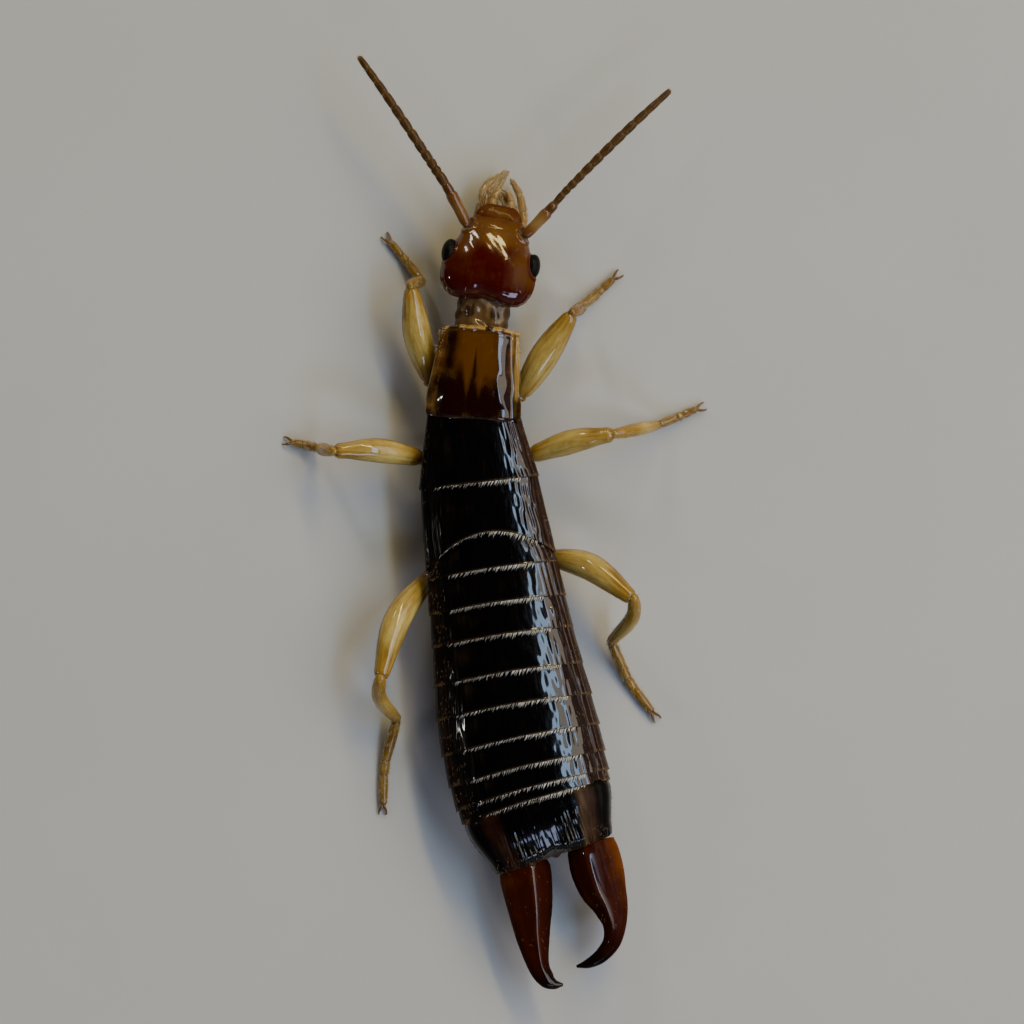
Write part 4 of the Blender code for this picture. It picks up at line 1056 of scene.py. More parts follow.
def make_neck(paint):
    """Soft folded skin between the head and the pronotum, with a pair of small plates let into it."""
    rear = np.array((*PRONOTUM_FRONT, NECK_HEIGHT))
    front = np.array((*HEAD_FRONT, NECK_HEIGHT))
    path = np.array([rear + (front - rear) * share for share in np.linspace(0.32, -0.14, 40)])
    share = np.linspace(0, 1, len(path))[:, None]
    angle = round_columns(120)
    half_width = 0.82 + 0.05 * np.sin(math.pi * share)
    half_height = 0.34 + 0.20 * share
    across, up = oval(angle, half_width, half_height, -half_height, 0.9)
    plate = mound((np.abs(across) - 0.42) / 0.22, (share - 0.45) / 0.16) * (up > 0)
    folds = 0.016 * np.sin(2 * math.pi * (4.6 * share + 0.35 * np.cos(3 * angle))) * (1 - 0.8 * plate)
    folds += 0.030 * uneven(across * 9, share * 14, 31)
    folds += 0.012 * uneven(across * 26, share * 22, 33)
    folds += 0.03 * plate
    ahead = (rear - front)[:2] / np.linalg.norm((rear - front)[:2])
    right = np.array((-ahead[1], ahead[0], 0.0))
    grid = path[:, None] + across[..., None] * right + up[..., None] * np.array((0, 0, 1.0))
    # The crests of the folds are painted pale: painted highlights where the folds catch the light.
    marks = {
        "deep": 0.25 + 0.7 * fade(plate, 0.35, 0.75) + 0.4 * fade(np.abs(across), 0.55, 0.8),
        "pale": 0.6 * bump(folds, 0.055, 0.025) * (1 - plate),
    }
    skin = Skin(raised(grid, folds, True), True, True, marks)
    make_shell("neck_skin", [skin], paint["joint_skin"], ["neck"])


PRONOTUM_SECTIONS = (
    (0.00, 1.17, 2.23), (0.06, 1.24, 2.36), (0.14, 1.27, 2.39), (0.30, 1.28, 2.38), (0.90, 1.33, 2.44),
    (1.80, 1.47, 2.47), (2.60, 1.54, 2.45), (2.90, 1.52, 2.37), (2.97, 1.49, 2.30),
)
PLATE_SIDE = 2.00
FRINGE_STEP = 0.044
FRINGE_SLANT = 0.70
FRINGE_RADIUS = 0.017
FRINGE_MIDDLE = 0.47
FRINGE_LEAN = 0.9


def edge_fringe(plate, row, seed, length, reach, cell=(0, 1)):
    """The pale fringe over the middle of a plate's rear edge, dense on the right and thin on the left."""
    right, left = (0.5 - reach, FRINGE_MIDDLE), (FRINGE_MIDDLE, 0.5 + reach)
    dense = (FRINGE_STEP, seed, length, FRINGE_RADIUS, FRINGE_LEAN, right)
    thin = (1.5 * FRINGE_STEP, seed + 900, 0.85 * length, 0.7 * FRINGE_RADIUS, FRINGE_LEAN, left)
    return [fringe(plate, row, *growth, cell, FRINGE_SLANT) for growth in (dense, thin)]


def pronotum_skin():
    """The shield over the prothorax: raised front rim, grooved disc, upturned clear margins, flat rear."""
    along, inset = lipped_rows(0.0, PRONOTUM_LENGTH, 150, 0.02)
    half_width, top = flow(PRONOTUM_SECTIONS, along)
    column, across, rise = plate_columns(PRONOTUM_PROFILE, 200)
    corner = bump(np.abs(across), 1.0, 0.30)
    reach = across * (half_width - inset)
    up = PLATE_SIDE + rise * (top - inset - PLATE_SIDE)
    up = up - 0.10 * fade(along, 2.1, 2.8) * (1 - np.abs(across) ** 2)
    place = along + 0.07 * (1 - across**2) * fade(along, 2.4, 2.97) + 0.10 * corner * fade(along, 0.5, 0.0)
    wide = np.abs(column)
    disc = 1 - fade(np.abs(reach), 0.6, 1.0)
    relief = -0.008 * bump(reach, 0, 0.09) * fade(along, 0.30, 0.60) * fade(along, 2.20, 1.9)
    relief += 0.036 * bump(along, 0.10, 0.042) - 0.026 * bump(along, 0.24, 0.08)
    relief += 0.013 * uneven(reach * 20, along * 12, 34) * bump(along, 0.12, 0.10)
    relief -= 0.008 * mound((np.abs(reach) - 0.30) / 0.12, (along - 1.9) / 0.30)
    relief -= 0.008 * bump(along, 2.12, 0.14) * disc
    relief += 0.012 * mound(np.abs(reach) - 0.52, along - 1.0, 0.45)
    relief += 0.010 * uneven(along * 5, reach * 8, 35) * fade(wide, 0.50, 0.65)
    waves = 0.020 * uneven(along * 3.5, reach * 13, 39)
    relief += waves * fade(column, 0.26, 0.38) * fade(column, 0.86, 0.78)
    relief -= 0.060 * fade(column, 0.20, 0.50) * bump(along, 2.05, 0.60)
    relief += 0.009 * uneven(along * 14, reach * 20, 40) * fade(column, 0.24, 0.36) * fade(along, 1.0, 1.9)
    relief += 0.004 * uneven(along * 7, reach * 7, 36)
    margin = fade(wide, 0.56, 0.70)
    tongue = 0.62 * bump(reach, -0.28, 0.12) + 0.56 * bump(reach, 0.11, 0.12) + 0.32 * bump(reach, 0.46, 0.22)
    rear = fade(along - tongue + 0.12 * uneven(reach * 7, along * 4, 38), 1.10, 2.05)
    groove = 0.8 * bump(reach, -0.07, 0.04 + 0.06 * fade(along, 0.9, 1.7)) * fade(along, 0.4, 1.2)
    front_corner = 0.8 * mound((np.abs(reach) - 0.92) / 0.40, (along - 0.50) / 0.55)
    side = 0.85 * bump(wide, 0.50, 0.13)
    deep = np.maximum.reduce(np.broadcast_arrays(rear, groove, front_corner, side))
    # Broken glints along the front rim are painted into the colour: pale where a glint falls, deep between
    # them.
    painted_glints = fade(uneven(reach * 17, along * 12, 32), -0.35, 0.45)
    deep = np.maximum(deep, 0.55 * margin) * (1 - fade(along, 0.24, 0.16))
    deep = deep + 0.70 * (1 - painted_glints) * fade(along, 0.20, 0.12)
    # The right margin is painted paler than the left, in golden streaks: painted light on the side the light
    # falls on.
    streaked = fade(uneven(reach * 30, along * 2.6, 44), -0.5, 0.6)
    pale = 0.15 * margin + 0.25 * fade(wide, 0.86, 0.94) + 0.85 * painted_glints * fade(along, 0.17, 0.10)
    pale = pale + (0.16 + 0.40 * streaked) * fade(column, 0.60, 0.74) * fade(along, 2.5, 2.1)
    pale = pale * (1 - 0.6 * fade(along, 2.55, 2.9)) + 0.3 * fade(along, 2.90, 2.95) * disc
    grid = raised(chest_axis(place, reach, up), relief)
    return Skin(grid, marks={"deep": deep, "pale": np.clip(pale, 0, 1)})


def chest_skin(sections, axis, arch=0.0, seed=0):
    """The underside of one ring of the thorax, with the plate on its breast marked off by grooves."""
    along = np.linspace(sections[0][0], sections[-1][0], 44)[:, None]
    half_width, top = flow(sections, along)
    angle = round_columns(120)
    across, up = oval(angle, half_width, top, STERNUM_HEIGHT, 0.8)
    share = (along - along[0]) / (along[-1] - along[0])
    below = fade(-np.sin(angle), 0.2, 0.6)
    plate = np.abs(across) / half_width
    relief = -0.03 * bump(plate, 0.62, 0.05) * below - 0.03 * bump(share, 0.93, 0.03) * below
    relief = relief - 0.025 * bump(across, 0, 0.04) * below + 0.012 * uneven(across * 5, along * 5, seed)
    relief = relief - 0.05 * (bump(share, 0.0, 0.05) + bump(share, 1.0, 0.05))
    deep = 0.55 * (1 - below) + 0.45 * bump(plate, 0.62, 0.08) * below
    place = along + arch * share * (across / ARCH_REACH) ** 2
    grid = raised(axis(place, across, up), relief, True)
    return Skin(grid, True, True, {"deep": deep, "pale": 0.2 * below})


# Each ring's breast: the place along it, its half width and its top.
PROSTERNUM = (
    (0.10, 0.64, 1.96), (0.30, 0.79, 2.02), (1.5, 0.99, 2.04), (2.62, 1.11, 2.04), (2.92, 1.02, 1.96),
)
MESOSTERNUM = (
    (0.20, 1.02, 1.98), (0.5, 1.14, 2.02), (1.2, 1.32, 2.02), (1.90, 1.40, 2.0), (2.06, 1.34, 1.92),
)
METASTERNUM = (
    (2.16, 1.36, 1.96), (2.4, 1.44, 2.02), (3.0, 1.54, 2.02), (3.40, 1.58, 2.0), (3.50, 1.50, 1.90),
)


def make_prothorax(paint):
    shield = pronotum_skin()
    make_shell("pronotum_shield", [shield], paint["pronotum_horn"], ["prothorax"])
    breast = chest_skin(PROSTERNUM, chest_axis, 0, 41)
    make_shell("prosternum", [breast], paint["belly_horn"])
    tufts = [
        *on_both_sides(shield, 14, (45, 46), 0.28, 0.009, 0.25, (0.03, 0.10), rows=(0.03, 0.30)),
        fringe(shield, 2, 0.06, 48, 0.08, 0.006, 0.2, columns=(0.16, 0.84)),
    ]
    make_bristles("pronotum_bristles", tufts, paint["bristle_gold"])
    rear = edge_fringe(shield, 148, 47, 0.26, 0.22)
    make_bristles("pronotum_fringe", rear, paint["bristle_pale"])


def blend_rings(front, rear, share):
    """The sizes between two rings at each share of the way."""
    return Ring(*(a + (b - a) * share for a, b in zip(front, rear)))


def plate_skin(front, rear, count, seed, arch=(0.0, 0.0), tubercle=0.0, wear_and_shade=0.0, columns=200):
    """A back plate or tergite, whose front lies under the plate before it and whose rear edge is lipped.
    Wear sets how scratched its flanks are and how dull, and also deepens the painted shade on its left flank."""
    along, inset = lipped_rows(front.rear, rear.rear, count)
    share = np.clip((along - front.rear) / (rear.rear - front.rear), 0, 1)
    ring = blend_rings(front, rear, share)
    column, across, rise = plate_columns(TERGITE_PROFILE, columns)
    reach = across * (ring.half_width - inset)
    crown = ring.top + 0.015 * np.sin(math.pi * share) - inset
    drop = np.where(rise > 0, crown - ring.side, ring.side - ring.bottom)
    up = ring.side + rise * drop
    set_back = (arch[0] + (arch[1] - arch[0]) * share) * (reach / ARCH_REACH) ** 2
    wide = np.abs(column)
    edge = rear.rear - along
    rolled = fade(wide, 0.655, 0.70)
    flank = fade(wide, 0.42, 0.52) * (1 - rolled)
    relief = 0.008 * bump(edge, 0.030, 0.025) + 0.0020 * uneven(reach * 30, along * 12, seed + 2)
    lines = uneven(column * 110, along * (3.5 + 7 * wear_and_shade), seed, 14)
    relief += (0.0040 * fade(wide, 0.30, 0.42) + 0.0035 * flank) * lines
    relief += 0.0045 * uneven(reach * 6, along * 6, seed + 1)
    relief += 0.012 * wear_and_shade * flank * uneven(reach * 11, along * 4, seed + 4)
    relief += tubercle * mound((wide - 0.60) / 0.06, (share - 0.55) / 0.22)
    relief -= 0.005 * bump(column, 0, 0.02) * fade(share, 0.2, 0.4) * fade(share, 0.9, 0.7)
    streaks = 1 + 0.25 * uneven(column * 90, along * 2.0, seed + 3, 12)
    seam = fade(edge, 0.15, 0.05)
    corner = mound((wide - 0.40) / 0.07, (share - 0.45) / 0.20)
    # The left flank, its edge and its seams are painted darker and less pale than the right: painted shade on
    # the side away from the light.
    left = fade(-column, 0.42, 0.52)
    kept = (0.50 + 0.25 * wear_and_shade) * left
    deep = 1.25 - (0.80 - kept) * flank - (0.95 - kept) * rolled
    deep = deep - 0.35 * bump(wide, 0.15, 0.09) * fade(share, 0.9, 0.5)
    pale = 0.05 * flank * streaks + (0.13 + 0.03 * streaks) * rolled + 0.09 * corner
    pale = pale * (1 - (0.6 + 0.4 * wear_and_shade) * left) + 0.22 * seam * (0.3 * flank + rolled) * (1 - wear_and_shade * left)
    pale = pale + 0.22 * fade(edge, 0.10, 0.04) * (1 - flank - rolled)
    grid = raised(bent_axis(along + set_back, reach, up), relief)
    dull = np.maximum(0.85 * fade(-column, 0.44, 0.60), (0.6 + 0.3 * wear_and_shade) * fade(column, 0.64, 0.70))
    dull = np.maximum(dull, turned_away(grid))
    return Skin(grid, marks={"deep": np.clip(deep, 0, 1), "pale": pale, "dull": dull})


def tucked(ring, lap=PLATE_LAP):
    """Where the next plate starts under the rear edge of this one."""
    return ring._replace(
        rear=ring.rear - lap,
        half_width=ring.half_width - 0.65 * PLATE_STEP,
        top=ring.top - PLATE_STEP,
        bottom=ring.bottom + PLATE_STEP,
    )


def make_back_plates(paint):
    """The short plates over the two wingless rear rings of the thorax."""
    first = Ring(-0.30, 1.44, 2.22, 1.84, 1.60)
    second = tucked(MESONOTUM_REAR)
    rings = (
        ("mesothorax", "mesonotum", first, MESONOTUM_REAR, 0.0, MESOSTERNUM),
        ("metathorax", "metanotum", second, METANOTUM_REAR, METANOTUM_ARCH, METASTERNUM),
    )
    tufts, fringes = [], []
    for k, (node, name, front, rear, arch, breast) in enumerate(rings):
        plate = plate_skin(front, rear, 90, 50 + 3 * k, (0.0, arch), wear_and_shade=0.8)
        make_shell(name, [plate], paint["back_horn"], [node])
        chest = chest_skin(breast, bent_axis, arch, 56 + k)
        make_shell(f"{node}_breast", [chest], paint["belly_horn"])
        fringes += edge_fringe(plate, 88, 60 + k, 0.25, 0.28, (k, 2))
        where = {"rows": (0.2, 0.95), "cell": (k, 2)}
        tufts += on_both_sides(plate, 40, (68 + k, 68 + k), 0.11, 0.005, 0.6, (0.02, 0.12), **where)
    make_bristles("back_plate_bristles", tufts, paint["bristle_brown"])
    make_bristles("back_plate_fringes", fringes, paint["bristle_pale"])


# Abdomen

def sternite_skin(front, rear, seed):
    """The plate under one ring of the abdomen, between the tucked edges of its tergite."""
    along, inset = lipped_rows(front.rear, rear.rear, 26)
    share = np.clip((along - front.rear) / (rear.rear - front.rear), 0, 1)
    ring = blend_rings(front, rear, share)
    angle = np.linspace(math.pi * 0.98, math.pi * 2.02, 90)[None, :]
    half_width = (ring.half_width - inset) * 0.95
    across, up = oval(angle, half_width, ring.top, ring.bottom + inset, 0.8, ring.side)
    relief = 0.010 * bump(rear.rear - along, 0.03, 0.025) + 0.006 * uneven(across * 6, along * 6, seed)
    marks = {
        "deep": 0.25 + 0.5 * fade(np.abs(across) / half_width, 0.6, 0.9),
        "pale": 0.6 * fade(rear.rear - along, 0.08, 0.03),
    }
    return Skin(raised(bent_axis(along, across, up), relief), marks=marks)


def make_abdomen(paint):
    """Nine overlapping tergites with their sternites, over the soft skin that joins them."""
    front = METANOTUM_REAR._replace(rear=3.50, half_width=1.96, top=2.34, side=1.78, bottom=1.30)
    tergites, sternites, tufts, fringes = [], [], [], []
    for k, rear in enumerate(TERGITES):
        arch = (METANOTUM_ARCH, 0.10) if k == 0 else (0.10, 0.10)
        tubercle = 0.05 if k in (2, 3) else 0.0
        count = max(30, int(60 * (rear.rear - front.rear)))
        plate = plate_skin(front, rear, count, 80 + 3 * k, arch, tubercle)
        tergites.append(plate)
        sternites.append(sternite_skin(front, rear, 120 + k))
        cell = (k, len(TERGITES))
        fringes += edge_fringe(plate, count - 2, 130 + k, 0.25, 0.25, cell)
        where = {"rows": (0.4, 0.95), "cell": cell}
        tufts += on_both_sides(plate, 34, (150 + k, 150 + k), 0.13, 0.005, 0.65, (0.02, 0.22), **where)
        front = tucked(rear)
    for k, plate in enumerate(tergites):
        replaced = ["abdomen"] if k == 0 else ()
        make_shell(f"tergite_{k + 1}", [plate], paint["back_horn"], replaced)
    make_shell("sternites", sternites, paint["belly_horn"])
    make_bristles("tergite_bristles", tufts, paint["bristle_brown"])
    make_bristles("tergite_fringes", fringes, paint["bristle_pale"])
    under = [sown(plate, 150, 160 + k, 0.14, 0.006, 0.6, cell=(k, 9)) for k, plate in enumerate(sternites)]
    make_bristles("sternite_bristles", under, paint["bristle_gold"])


def make_trunk_skin(paint):
    """The soft skin inside the plates, which shows only in the joints between them."""
    sections = [
        (-0.25, 1.20, 2.10, 0.95), (0.6, 1.40, 2.26, 0.95), (2.1, 1.70, 2.32, 0.95),
        (3.6, 1.86, 2.30, 1.30),
        *((ring.rear, ring.half_width - 0.26, ring.top - 0.18, ring.bottom + 0.16) for ring in TERGITES),
        (12.6, 2.16, 2.46, 0.86),
    ]
    along = np.linspace(sections[0][0], sections[-1][0], 220)[:, None]
    half_width, top, bottom = flow(sections, along)
    across, up = oval(round_columns(96), half_width, top, bottom, 0.8)
    folds = 0.015 * np.sin(along * 2 * math.pi / 0.16) + 0.01 * uneven(across * 5, along * 8, 71)
    grid = raised(bent_axis(along, across, up), folds, True)
    skin = Skin(grid, True, True, {"deep": 0.5 + 0.4 * uneven(along * 2, across * 2, 72)})
    make_shell("trunk_skin", [skin], paint["joint_skin"])


TAIL_SECTIONS = (
    (12.20, 2.28, 2.50, 0.78, 1.66), (12.45, 2.40, 2.66, 0.66, 1.66), (12.90, 2.38, 2.65, 0.68, 1.63),
    (13.30, 2.26, 2.58, 0.76, 1.60), (13.55, 2.17, 2.48, 0.81, 1.58), (13.80, 2.07, 2.37, 0.88, 1.56),
    (14.10, 1.99, 2.23, 0.97, 1.54), (14.20, 1.93, 2.14, 1.02, 1.54), (14.24, 1.84, 2.02, 1.12, 1.54),
)
TAIL_FRONT, TAIL_REAR = 12.20, 14.24


def tail_skin():
    """The large last ring: a sunk middle, bosses over the forceps and a wrinkled rear."""
    along = [np.linspace(TAIL_FRONT, 14.10, 110), np.linspace(14.115, TAIL_REAR, 14)]
    along = np.concatenate(along)[:, None]
    half_width, top, bottom, widest = flow(TAIL_SECTIONS, along)
    angle = round_columns(420)
    across, up = oval(angle, half_width, top, bottom, 0.77, widest)
    above = fade(np.sin(angle), 0.1, 0.5)
    share = (along - TAIL_FRONT) / (TAIL_REAR - TAIL_FRONT)
    side = across / half_width
    relief = -0.060 * bump(side, 0, 0.30) * fade(share, 0.15, 0.6) * above
    relief += 0.060 * mound((np.abs(side) - 0.50) / 0.26, (share - 0.88) / 0.14) * above
    wrinkled = fade(share, 0.34, 0.50) * above * fade(np.abs(side), 0.75, 0.5)
    relief += 0.019 * wrinkled * uneven(across * 80, along * 3, 201, 14)
    relief += 0.003 * wrinkled * uneven(across * 9, along * 9, 204)
    relief -= 0.025 * bump(side, 0, 0.035) * fade(share, 0.65, 0.9) * above
    relief -= 0.03 * bump(np.abs(side), 0.83, 0.035) * above * fade(share, 0.05, 0.3)
    relief += 0.004 * uneven(across * 6, along * 6, 202)
    relief += 0.003 * above * uneven(across * 22, along * 3, 203)
    notch = 0.10 * bump(across, 0, 0.28) * fade(share, 0.8, 1.0) * above
    deep = 1.2 - 0.80 * fade(np.abs(side), 0.40, 0.62) * above - 0.5 * (1 - above)
    deep = deep + 0.5 * fade(np.abs(side), 0.70, 0.85) * above
    pale = 0.35 * fade(TAIL_REAR - along, 0.06, 0.02)
    # The narrow pale stripe on the right flank alone is a painted sheen; a broader, fainter pale band runs on
    # both flanks.
    streaked = 1 + 0.35 * uneven(across * 30, along * 2, 205)
    pale = pale + (0.42 * bump(side, 0.56, 0.05) + 0.15 * bump(np.abs(side), 0.68, 0.11)) * above * streaked
    grid = raised(bent_axis(along - notch, across, up), relief, True)
    dull = np.maximum(0.25 * wrinkled, (0.9 * fade(-side, 0.40, 0.55) + fade(side, 0.42, 0.60)) * above)
    dull = np.maximum(dull, turned_away(grid, True))
    return Skin(grid, True, True, {"deep": np.clip(deep, 0, 1), "pale": pale, "dull": dull})


def make_tail(paint):
    skin = tail_skin()
    make_shell("tail_shell", [skin], paint["back_horn"], ["tail_segment"])
    path = smooth_path(((1.82, -10.12, 1.30), (1.90, -10.45, 1.26), (1.97, -10.72, 1.20)))
    radii = ((0, 0.24), (0.5, 0.26), (0.85, 0.20), (1, 0.12))
    marks = {"deep": lambda share, angle: 0.9 - 0.5 * share}
    pygidium = limb_skin(path, radii, 36, 28, 0.8, marks=marks)
    make_shell("pygidium", [pygidium], paint["forceps_horn"])
    tufts = [
        *on_both_sides(skin, 70, (212, 213), 0.15, 0.006, 0.5, (0.1, 0.28)),
        sown(skin, 220, 214, 0.14, 0.005, 0.85, rows=(0.70, 0.93), columns=(0.30, 0.70)),
    ]
    make_bristles("tail_bristles", tufts, paint["bristle_brown"])


TOOTH_PITCH = 0.045


def forceps_skin(side):
    """One arm: a keeled, three-sided base with small teeth on its inner edge, and a smooth curved tip."""
    stations = FORCEPS[side]
    steps = 20
    path = smooth_path([(s.x, s.y, s.z) for s in stations], steps)
    sizes = smooth_path([(s.half_width, s.half_height, 0) for s in stations], steps)
    share = np.linspace(0, 1, len(path))[:, None]
    ahead = np.gradient(path, axis=0)
    ahead[:, 2] = 0
    ahead /= np.linalg.norm(ahead, axis=1, keepdims=True)
    right = np.stack([-ahead[:, 1], ahead[:, 0], 0 * ahead[:, 0]], axis=1)
    angle = round_columns(96)
    inner = 0.0 if side == "left" else math.pi
    turned = np.angle(np.exp(1j * (angle - inner)))
    across, up = oval(angle, sizes[:, :1], sizes[:, 1:2], -sizes[:, 1:2], 0.95)
    keel = np.angle(np.exp(1j * (angle - math.pi / 2 - (0.25 if side == "right" else -0.25))))
    basal = fade(share, 0.62, 0.40)
    relief = 0.060 * bump(keel, 0, 0.16) * fade(share, 0.80, 0.45) * fade(share, 0.0, 0.08)
    relief -= 0.055 * (bump(keel, 0.62, 0.32) + bump(keel, -0.62, 0.32)) * basal
    teeth = np.abs(np.sin(math.pi * share / TOOTH_PITCH)) ** 2.5
    relief += 0.009 * teeth * bump(turned, -0.12, 0.16) * basal * fade(share, 0.07, 0.12)
    relief -= 0.020 * bump(turned, 0.34, 0.18) * basal
    relief -= 0.05 * fade(share, 0.05, 0.0)
    relief += 0.003 * uneven(share * 60, angle * 6, 221)
    relief += 0.035 * (bump(turned, 0, 0.5) + bump(np.abs(turned), math.pi, 0.5)) * basal
    relief *= np.clip(sizes[:, :1] / 0.5, 0.05, 1)
    grid = path[:, None] + across[..., None] * right[:, None] + up[..., None] * np.array((0, 0, 1.0))
    deep = 0.25 + 0.75 * fade(share, 0.45, 0.90) + 0.45 * bump(turned, 0, 0.5) * basal
    outer = bump(np.abs(turned), math.pi, 1.0)
    # Both arms are paler on the outer side of the base, the right arm more so: the extra on the right is
    # painted light on the side the light falls on.
    warmth_and_light = 0.75 if side == "right" else 0.35
    pale = warmth_and_light * outer * fade(share, 0.60, 0.08) + 0.20 * bump(keel, 0, 0.12) * basal
    grid = raised(grid, relief, True)
    beside = 1 - bump(keel, 0, 0.20)
    dull = np.maximum(beside * (1 - 0.5 * fade(share, 0.70, 0.90)), turned_away(grid, True))
    return Skin(grid, True, True, {"deep": np.clip(deep, 0, 1), "pale": pale, "dull": dull})


def make_forceps(paint):
    for side, first in (("left", 231), ("right", 241)):
        skin = forceps_skin(side)
        name = f"forceps_{side}"
        make_shell(f"{name}_arm", [skin], paint["forceps_horn"], [name])
        tufts = [
            sown(skin, 70, first, 0.13, 0.005, 0.5, rows=(0.06, 0.5)),
            sown(skin, 20, first + 1, 0.08, 0.004, 0.7, rows=(0.5, 0.85)),
        ]
        make_bristles(f"{name}_bristles", tufts, paint["bristle_brown"])


# Legs

FOOT_HEIGHT = 0.145
CLAW_LENGTH = 0.30
CLAW_SPREAD = 0.12


def scaled(radii, girth):
    return [(share, girth * radius) for share, radius in radii]


def grooved(share, angle):
    """The swelling of a thigh, with two shallow grooves beside its upper ridge."""
    return 1 - 0.035 * bump(np.abs(angle - 0.5 * math.pi), 0.75, 0.16) * bump(share, 0.5, 0.4)


def ridged(share, angle):
    """The swelling of a shin, broader across its middle."""
    return 1 + 0.07 * bump(np.cos(2 * angle), -1, 0.3) * bump(share, 0.6, 0.35)


def leg_skins(pair, joints):
    """The skins of a leg's segments from the hip to the foot, and of its two claws."""
    at = {joint: np.array(place) for joint, place in zip(LEG_JOINTS, joints)}
    thick = FEMUR_RADII[pair]
    into_body = at["hip"] + (at["hip"] - at["trochanter"]) * 0.35
    skins = []

    coxa = smooth_path((into_body, at["hip"], at["trochanter"]))
    marks = {"deep": lambda share, angle: 0.55 - 0.35 * share, "pale": lambda share, angle: 0.2 * share}
    skins.append(limb_skin(coxa, ((0, 0.34), (0.4, 0.39), (0.8, 0.34), (1, 0.22)), 34, 32, 0.9, marks=marks))

    first = at["trochanter"] + (at["thigh"] - at["trochanter"]) * 0.10
    ring = np.linspace(at["trochanter"] - (first - at["trochanter"]) * 0.8, first, 8)
    marks = {"deep": lambda share, angle: 0.45 + 0.2 * bump(share, 0.5, 0.2)}
    skins.append(limb_skin(ring, ((0, 0.22), (0.5, 0.28), (1, 0.22)), 18, 28, marks=marks))

    femur = smooth_path((at["trochanter"], at["thigh"], at["knee"]), 16)
    radii = (
        (0, 0.22), (0.06, 0.27), (0.22, 0.84 * thick), (0.45, thick), (0.68, 0.90 * thick),
        (0.86, 0.68 * thick), (0.95, 0.25), (1, 0.22),
    )
    # The thigh is painted darker underneath and paler on top: painted shade and painted light. It is also
    # darker along its sides.
    marks = {
        "deep": lambda share, angle: 0.55 * bump(share, 1, 0.05) + 0.30 * bump(share, 0, 0.12)
        + 0.40 * fade(-np.sin(angle), 0.0, 0.9) + 0.42 * bump(np.sin(angle), -0.1, 0.35)
        + 0.22 * bump(share, 0.78, 0.12),
        "pale": lambda share, angle: 0.58 * bump(share, 0.45, 0.35) * fade(np.sin(angle), -0.2, 0.6),
    }
    skins.append(limb_skin(femur, radii, 90, 48, 0.92, grooved, marks))

    middle = at["knee"] + (at["ankle"] - at["knee"]) * 0.45
    middle = middle + np.array((math.copysign(TIBIA_BOW[pair], middle[0]), 0, TIBIA_RISE))
    inside = at["knee"] + (at["thigh"] - at["knee"]) * 0.10
    tibia = smooth_path((inside, at["knee"], middle, at["ankle"]), 16)
    radii = ((0, 0.12), (0.10, 0.185), (0.30, 0.225), (0.6, 0.235), (0.85, 0.195), (0.96, 0.17), (1, 0.14))
    radii = scaled(radii, SHIN_GIRTH[pair])
    marks = {
        "deep": lambda share, angle: 0.75 * fade(share, 0.90, 0.98) + 0.20 * bump(share, 0, 0.10)
        + (0.45 if pair == "front" else 0.0),
        "pale": lambda share, angle: (0.10 if pair == "front" else 0.35) * bump(share, 0.6, 0.28),
    }
    skins.append(limb_skin(tibia, radii, 70, 40, 0.92, ridged, marks))

    toe_joint, toe = at["toe_joint"].copy(), at["toe"].copy()
    toe_joint[2], toe[2] = FOOT_HEIGHT + 0.02, FOOT_HEIGHT
    start = at["ankle"] + (at["knee"] - at["ankle"]) * 0.03
    foot = smooth_path((start, toe_joint, toe), 16)
    marks = {
        "deep": lambda share, angle: 0.42 + 0.45 * fade(share, 0.85, 1.0) + 0.3 * bump(share, 0, 0.06),
        "pale": lambda share, angle: 0.15 * bump(share, 0.5, 0.2),
    }
    radii = scaled(((0, 0.155), (0.25, 0.170), (0.55, 0.150), (1, 0.125)), FOOT_GIRTH[pair])
    skins += jointed(foot, (1.05, 0.32, 0.72), radii, 34, 28, waist=0.84, marks=marks)

    forward = (toe - toe_joint) / np.linalg.norm(toe - toe_joint)
    level = np.array((-forward[1], forward[0], 0.0))
    claws = []
    for hand in (-1, 1):
        side = level * hand * CLAW_SPREAD
        route = (
            toe - forward * 0.06,
            toe + forward * 0.40 * CLAW_LENGTH + 0.75 * side + np.array((0, 0, 0.01)),
            toe + forward * 0.85 * CLAW_LENGTH + 1.05 * side + np.array((0, 0, -0.07)),
            toe + forward * 0.98 * CLAW_LENGTH + 0.8 * side + np.array((0, 0, 0.025 - FOOT_HEIGHT)),
        )
        marks = {"deep": lambda share, angle: 0.55 + 0.45 * share}
        radii = ((0, 0.054), (0.5, 0.040), (1, 0.012))
        claws.append(limb_skin(smooth_path(route), radii, 30, 16, marks=marks))
    return skins, claws


# For each skin of a leg: how many bristles, their length and how far they lie down.
LEG_BRISTLES = (
    (40, 0.14, 0.5), (14, 0.10, 0.5), (90, 0.10, 0.7), (170, 0.17, 0.65), (230, 0.17, 0.6),
    (60, 0.16, 0.6), (120, 0.14, 0.6),
)


def make_leg(name, joints, paint, seed):
    skins, claws = leg_skins(name.split("_")[0], joints)
    leg = f"leg_{name}"
    make_shell(f"{leg}_shell", skins, paint["leg_horn"], [leg])
    make_shell(f"{leg}_claws", claws, paint["leg_horn"])
    tufts = []
    for k, (skin, (count, length, lean)) in enumerate(zip(skins, LEG_BRISTLES)):
        tufts.append(sown(skin, count, seed + k, length, 0.006, lean, cell=(k, len(skins))))
    tufts.append(sown(skins[3], 10, seed + 20, 0.26, 0.011, 0.6, rows=(0.88, 0.96), cell=(3, len(skins))))
    make_bristles(f"{leg}_bristles", tufts, paint["bristle_gold"])


# Stage

FLOOR_REACH = 0.6


